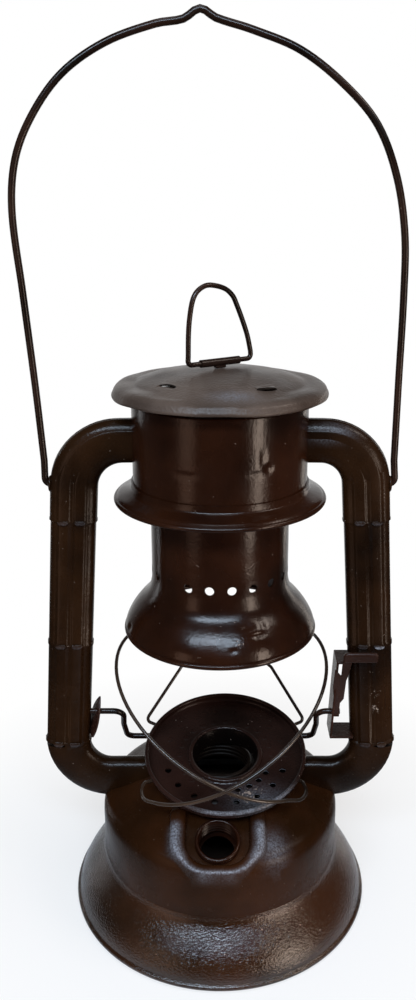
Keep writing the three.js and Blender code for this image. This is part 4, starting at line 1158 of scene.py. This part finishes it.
def enamel(name, dark, warm, gloss, peel, chips=0.0, bands=(), specular=0.3, drips=0.0,
           grain=950, spots=(), wavy=0.25):
    """Enamel between two colours. It flakes at spots (place, radius) and bands (height, reach)."""
    finish, mix, shader = new_finish(name)
    space = mix.space()
    # The grey mark paints sheen and highlights, and worn metal on the tabs; the black mark paints shade and
    # takes away the shine.
    wear_and_sheen = mix.add("Attribute", attribute_name="wear_and_sheen").outputs["Fac"]
    shade_painted = mix.add("Attribute", attribute_name="shade_painted").outputs["Fac"]
    colour = mix.ramp(mix.noise(space, 28, 3), [(0.36, dark), (0.64, warm)])
    speckle = mix.spread(mix.noise(space, 1300, 2, 0.6), 0.36, 0.64, 0.25, 1)
    colour = mix.mixed(mix.maths("MULTIPLY", wear_and_sheen, speckle), colour, SHEEN_AND_WEAR_GREY)
    colour = mix.mixed(shade_painted, colour, SHADE_BLACK)
    nick = mix.spread(mix.noise(space, 620, 2, 0.6), 0.735, 0.76, 0, chips)
    for middle, radius in spots:
        away = mix.add("VectorMath", operation="DISTANCE")
        mix.feed(away.inputs[0], space)
        away.inputs[1].default_value = [value * MM for value in middle]
        near = mix.spread(away.outputs["Value"], radius * MM, 0, 0, 1)
        flaked = mix.maths("MULTIPLY", near, mix.noise(space, 900, 3, 0.65))
        nick = mix.maths("MAXIMUM", nick, mix.spread(flaked, 0.5, 0.54, 0, 0.6))
    if bands:
        height = mix.add("SeparateXYZ")
        mix.feed(height.inputs[0], space)
        ragged = mix.noise(space, 230, 4, 0.65)
    for level, reach in bands:
        away = mix.maths("ABSOLUTE", mix.maths("SUBTRACT", height.outputs["Z"], level * MM))
        worn = mix.maths("MULTIPLY", mix.spread(away, reach * MM, 0, 0, 1), ragged)
        nick = mix.maths("MAXIMUM", nick, mix.spread(worn, 0.6, 0.64, 0, 0.8))
    mix.feed(shader["Base Color"], mix.mixed(nick, colour, PRIMER))
    rough = mix.spread(mix.noise(space, 75, 4, 0.6), 0.3, 0.7, gloss - 0.05, gloss + 0.07)
    mix.feed(shader["Roughness"], mix.maths("ADD", rough, mix.maths("MULTIPLY", nick, 0.35)))
    waves = mix.bump(mix.noise(space, 55, 2), 0.0012, wavy)
    skin = mix.bump(mix.noise(space, grain, 2, 0.55), 0.33 / grain, peel, waves)
    if drips:
        longways = mix.add("Mapping")
        longways.inputs["Scale"].default_value = (1, 1, 0.14)
        mix.feed(longways.inputs["Vector"], space)
        skin = mix.bump(mix.noise(longways.outputs["Vector"], 420, 3, 0.6), 0.0003, drips, skin)
    mix.feed(shader["Normal"], mix.bump(nick, 0.0003, -0.4, skin))
    # Where shade is painted black, the shine is taken away too.
    matt = mix.maths("MULTIPLY", shade_painted, specular * 0.9)
    mix.feed(shader["Specular IOR Level"], mix.maths("SUBTRACT", specular, matt))
    return finish


BELL_CHIPS, PLATE_CHIPS = ((8, -38, 141), 9), ((13, -24, 63), 26)
TUBE_CHIPS = (((69.3, -6, 100), 11), ((69.6, -6, 93), 12))
body_enamel = enamel("body_enamel", (0.0062, 0.0016, 0.0006), (0.021, 0.0062, 0.0024), 0.2, 0.18,
                     0.2, specular=0.27, drips=0.14, spots=(BELL_CHIPS,))
tank_enamel = enamel("tank_enamel", (0.0135, 0.0048, 0.0014), (0.031, 0.0104, 0.0036), 0.24, 0.45,
                     0.2, specular=0.09, grain=1500)
foot_enamel = enamel("foot_enamel", (0.013, 0.0048, 0.0015), (0.032, 0.011, 0.0042), 0.1, 1.0,
                     0.3, specular=0.64, grain=1350)
tube_enamel = enamel("tube_enamel", (0.0055, 0.0021, 0.0008), (0.02, 0.0078, 0.0026), 0.25, 0.25,
                     0.3, tuple(zip(CRIMPS, (1.5, 1.9, 1.5))), specular=0.15, spots=TUBE_CHIPS)
# The cap's colours are lighter and greyer than the rest, which paints in a reflection of the sky.
cap_enamel_painted_sky = enamel("cap_enamel_painted_sky", (0.034, 0.0225, 0.017), (0.086, 0.062, 0.049), 0.34, 0.6,
                    0.15, specular=0.24)
wire_enamel = enamel("wire_enamel", (0.004, 0.002, 0.0013), (0.02, 0.0085, 0.0052), 0.24, 0.06,
                     0.15, specular=0.26, wavy=0.05)
guard_enamel = enamel("guard_enamel", (0.006, 0.0035, 0.0026), (0.036, 0.022, 0.0145), 0.16, 0.06,
                      0.15, specular=0.5, wavy=0.05)
lever_enamel = enamel("lever_enamel", (0.012, 0.005, 0.0032), (0.034, 0.0135, 0.009), 0.24, 0.4,
                      0.3, specular=0.16)
floor_enamel = enamel("floor_enamel", (0.01, 0.006, 0.0045), (0.03, 0.017, 0.012), 0.5, 0.3,
                      0.2, specular=0.2)
# The burner's seat and collar, deep in the plate's hole, get a near-black copy of the enamel as painted
# shade.
dark_shade_enamel = enamel("dark_shade_enamel", (0.003, 0.0016, 0.001), (0.009, 0.0046, 0.003), 0.36, 0.3,
                      0.1, specular=0.12)
plate_enamel = enamel("plate_enamel", (0.007, 0.0032, 0.0024), (0.024, 0.0105, 0.0078), 0.2, 0.5,
                      0.3, specular=0.22, spots=(PLATE_CHIPS,))
print("finishes:", len(bpy.data.materials))

# %% Give every piece its finish
finish_of = {"foot_skirt": foot_enamel, "tank_shell": tank_enamel, "tank_floor": floor_enamel,
             "thumb_lever": lever_enamel, "lever_carrier": lever_enamel, "wire_clip": lever_enamel,
             "burner_thread": dark_shade_enamel, "burner_ring": dark_shade_enamel, "vent_dish": plate_enamel,
             "air_tube_left": tube_enamel, "air_tube_right": tube_enamel, "cap": cap_enamel_painted_sky,
             "ring_holder": wire_enamel, "pull_ring": wire_enamel, "handle": wire_enamel,
             "crank_wire": wire_enamel, "globe_guard_left": guard_enamel, "globe_guard_right": guard_enamel}
for name, piece in pieces.items():
    piece.data.materials.clear()
    piece.data.materials.append(finish_of.get(name, body_enamel))

# %% [markdown]
# ## Floor, light and camera
# The photograph is cut out on pure white, so the camera sees a white background, and a pale floor
# that carries the shadow near the foot and fades to white further out. The enamel reflects a dim
# room all the same. It sees the white backdrop only behind the lamp, and hardly any floor. A wide
# cool window stands in front and above, a smaller warm light at the right, and weak strips and a
# wall lamp draw the edges. The camera is close, a third of a metre above the table and looking
# down a little, which gives the foot its fullness and the cap its thin edge.

# %% Floor
FLOOR_RADIUS, FLOOR_DROP = 0.36, 0.0004
bpy.ops.object.select_all(action="DESELECT")
bpy.ops.mesh.primitive_circle_add(vertices=96, radius=FLOOR_RADIUS, fill_type="NGON",
                                  location=(0, 0, -FLOOR_DROP))
floor = bpy.context.object
floor.name = "floor"
paper, mix, shader = new_finish("paper")
mix.feed(shader["Base Color"], (0.86, 0.86, 0.86))
mix.feed(shader["Roughness"], 0.9)
mix.feed(shader["Specular IOR Level"], 0.1)
ray = mix.add("LightPath").outputs
length = mix.add("VectorMath", operation="LENGTH")
mix.feed(length.inputs[0], mix.space())
from_axis = length.outputs["Value"]
faded = mix.maths("MULTIPLY", mix.spread(from_axis, 0.07, 0.2, 0.6, 1), ray["Is Camera Ray"])
hidden = mix.maths("MULTIPLY", mix.spread(from_axis, 0.065, 0.14, 0, 1), ray["Is Glossy Ray"])
pale = mix.nodes["Principled BSDF"].outputs["BSDF"]
white = mix.add("Emission").outputs["Emission"]
clear = mix.add("BsdfTransparent").outputs["BSDF"]
shown = mix.made(mix.add("MixShader"), faded, pale, white)
surface = mix.made(mix.add("MixShader"), hidden, shown, clear)
mix.feed(mix.nodes["Material Output"].inputs["Surface"], surface)
floor.data.materials.append(paper)
print("floor", FLOOR_RADIUS, "m in radius")

# %% World
world = bpy.data.worlds.new("room")
bpy.context.scene.world = world
world.use_nodes = True
mix = Recipe(world.node_tree)
ray = mix.add("LightPath").outputs
towards = mix.add("SeparateXYZ")
mix.feed(towards.inputs[0], mix.space("Generated"))
behind_lamp = mix.spread(towards.outputs["Y"], 0.65, 1.0, 0, 1)
below_ceiling = mix.spread(towards.outputs["Z"], 0.3, 0.65, 1, 0)
backdrop_seen = mix.maths("MULTIPLY", behind_lamp, below_ceiling)
mirrored = mix.maths("MULTIPLY", ray["Is Glossy Ray"], backdrop_seen)
through = mix.maths("MAXIMUM", mirrored, ray["Is Transmission Ray"])
seen = mix.maths("MAXIMUM", ray["Is Camera Ray"], through)
room, backdrop = mix.nodes["Background"], mix.add("Background")
dim = mix.spread(ray["Is Glossy Ray"], 0, 1, 0.2, 0.06)
mix.made(room, (1, 0.92, 0.84), dim)
mix.made(backdrop, (1, 1, 1), 1)
surface = mix.made(mix.add("MixShader"), seen, room.outputs["Background"], backdrop.outputs["Background"])
mix.feed(mix.nodes["World Output"].inputs["Surface"], surface)


# %% Lamps
def softbox(name, stand, target, width, height, power, colour):
    bpy.ops.object.light_add(type="AREA", location=stand)
    lamp = bpy.context.object
    lamp.name = name
    lamp.data.shape = "RECTANGLE"
    lamp.data.size, lamp.data.size_y = width, height
    lamp.data.energy = power
    lamp.data.color = colour
    lamp.rotation_euler = (Vector(target) - Vector(stand)).to_track_quat("-Z", "Y").to_euler()
    print(name, power, "W")


def aimed(turn, rise, reach, height=0.15):
    """A place seen from the lamp at a turn from the front and a rise above the horizon."""
    turn, rise = math.radians(turn), math.radians(rise)
    return (reach * math.sin(turn) * math.cos(rise), -reach * math.cos(turn) * math.cos(rise),
            height + reach * math.sin(rise))


LOW_AIM, HIGH_AIM = (0, 0, 0.1), (0, 0, 0.14)
softbox("window", aimed(-8, 43, 1.1), LOW_AIM, 1.0, 0.17, 14, (0.68, 0.83, 1.0))
softbox("ceiling", aimed(0, 84, 1.0), LOW_AIM, 0.4, 0.4, 1.5, (0.9, 0.94, 1.0))
softbox("skylight", aimed(76, 46, 1.0), LOW_AIM, 0.3, 0.2, 2.0, (1.0, 0.86, 0.76))
softbox("door_right", aimed(49, -2, 0.9), HIGH_AIM, 0.17, 0.55, 3.2, (1.0, 0.8, 0.66))
softbox("strip_back_right", aimed(137, -3, 0.9), HIGH_AIM, 0.05, 0.6, 0.35, (1.0, 0.9, 0.8))
softbox("strip_back_left", aimed(-121, -3, 0.9), HIGH_AIM, 0.05, 0.6, 0.4, (0.95, 0.97, 1.0))
softbox("wall_left", aimed(-42, -2, 1.0), HIGH_AIM, 0.3, 0.6, 0.9, (1.0, 0.62, 0.45))

# %% Camera
BEFORE_LAMP, ABOVE_TABLE, DIP = 0.362, 0.310, 15.35
bpy.ops.object.camera_add(location=(0, -BEFORE_LAMP, ABOVE_TABLE), rotation=(math.radians(90 - DIP), 0, 0))
camera = bpy.context.object
camera.data.sensor_width = 36
camera.data.lens = 32.4
camera.data.shift_x = -0.012
camera.data.shift_y = -0.05
camera.data.clip_start = 0.01
bpy.context.scene.camera = camera
bpy.context.scene.view_settings.view_transform = "Standard"
print("camera", camera.location[:], "looking down", DIP, "degrees")
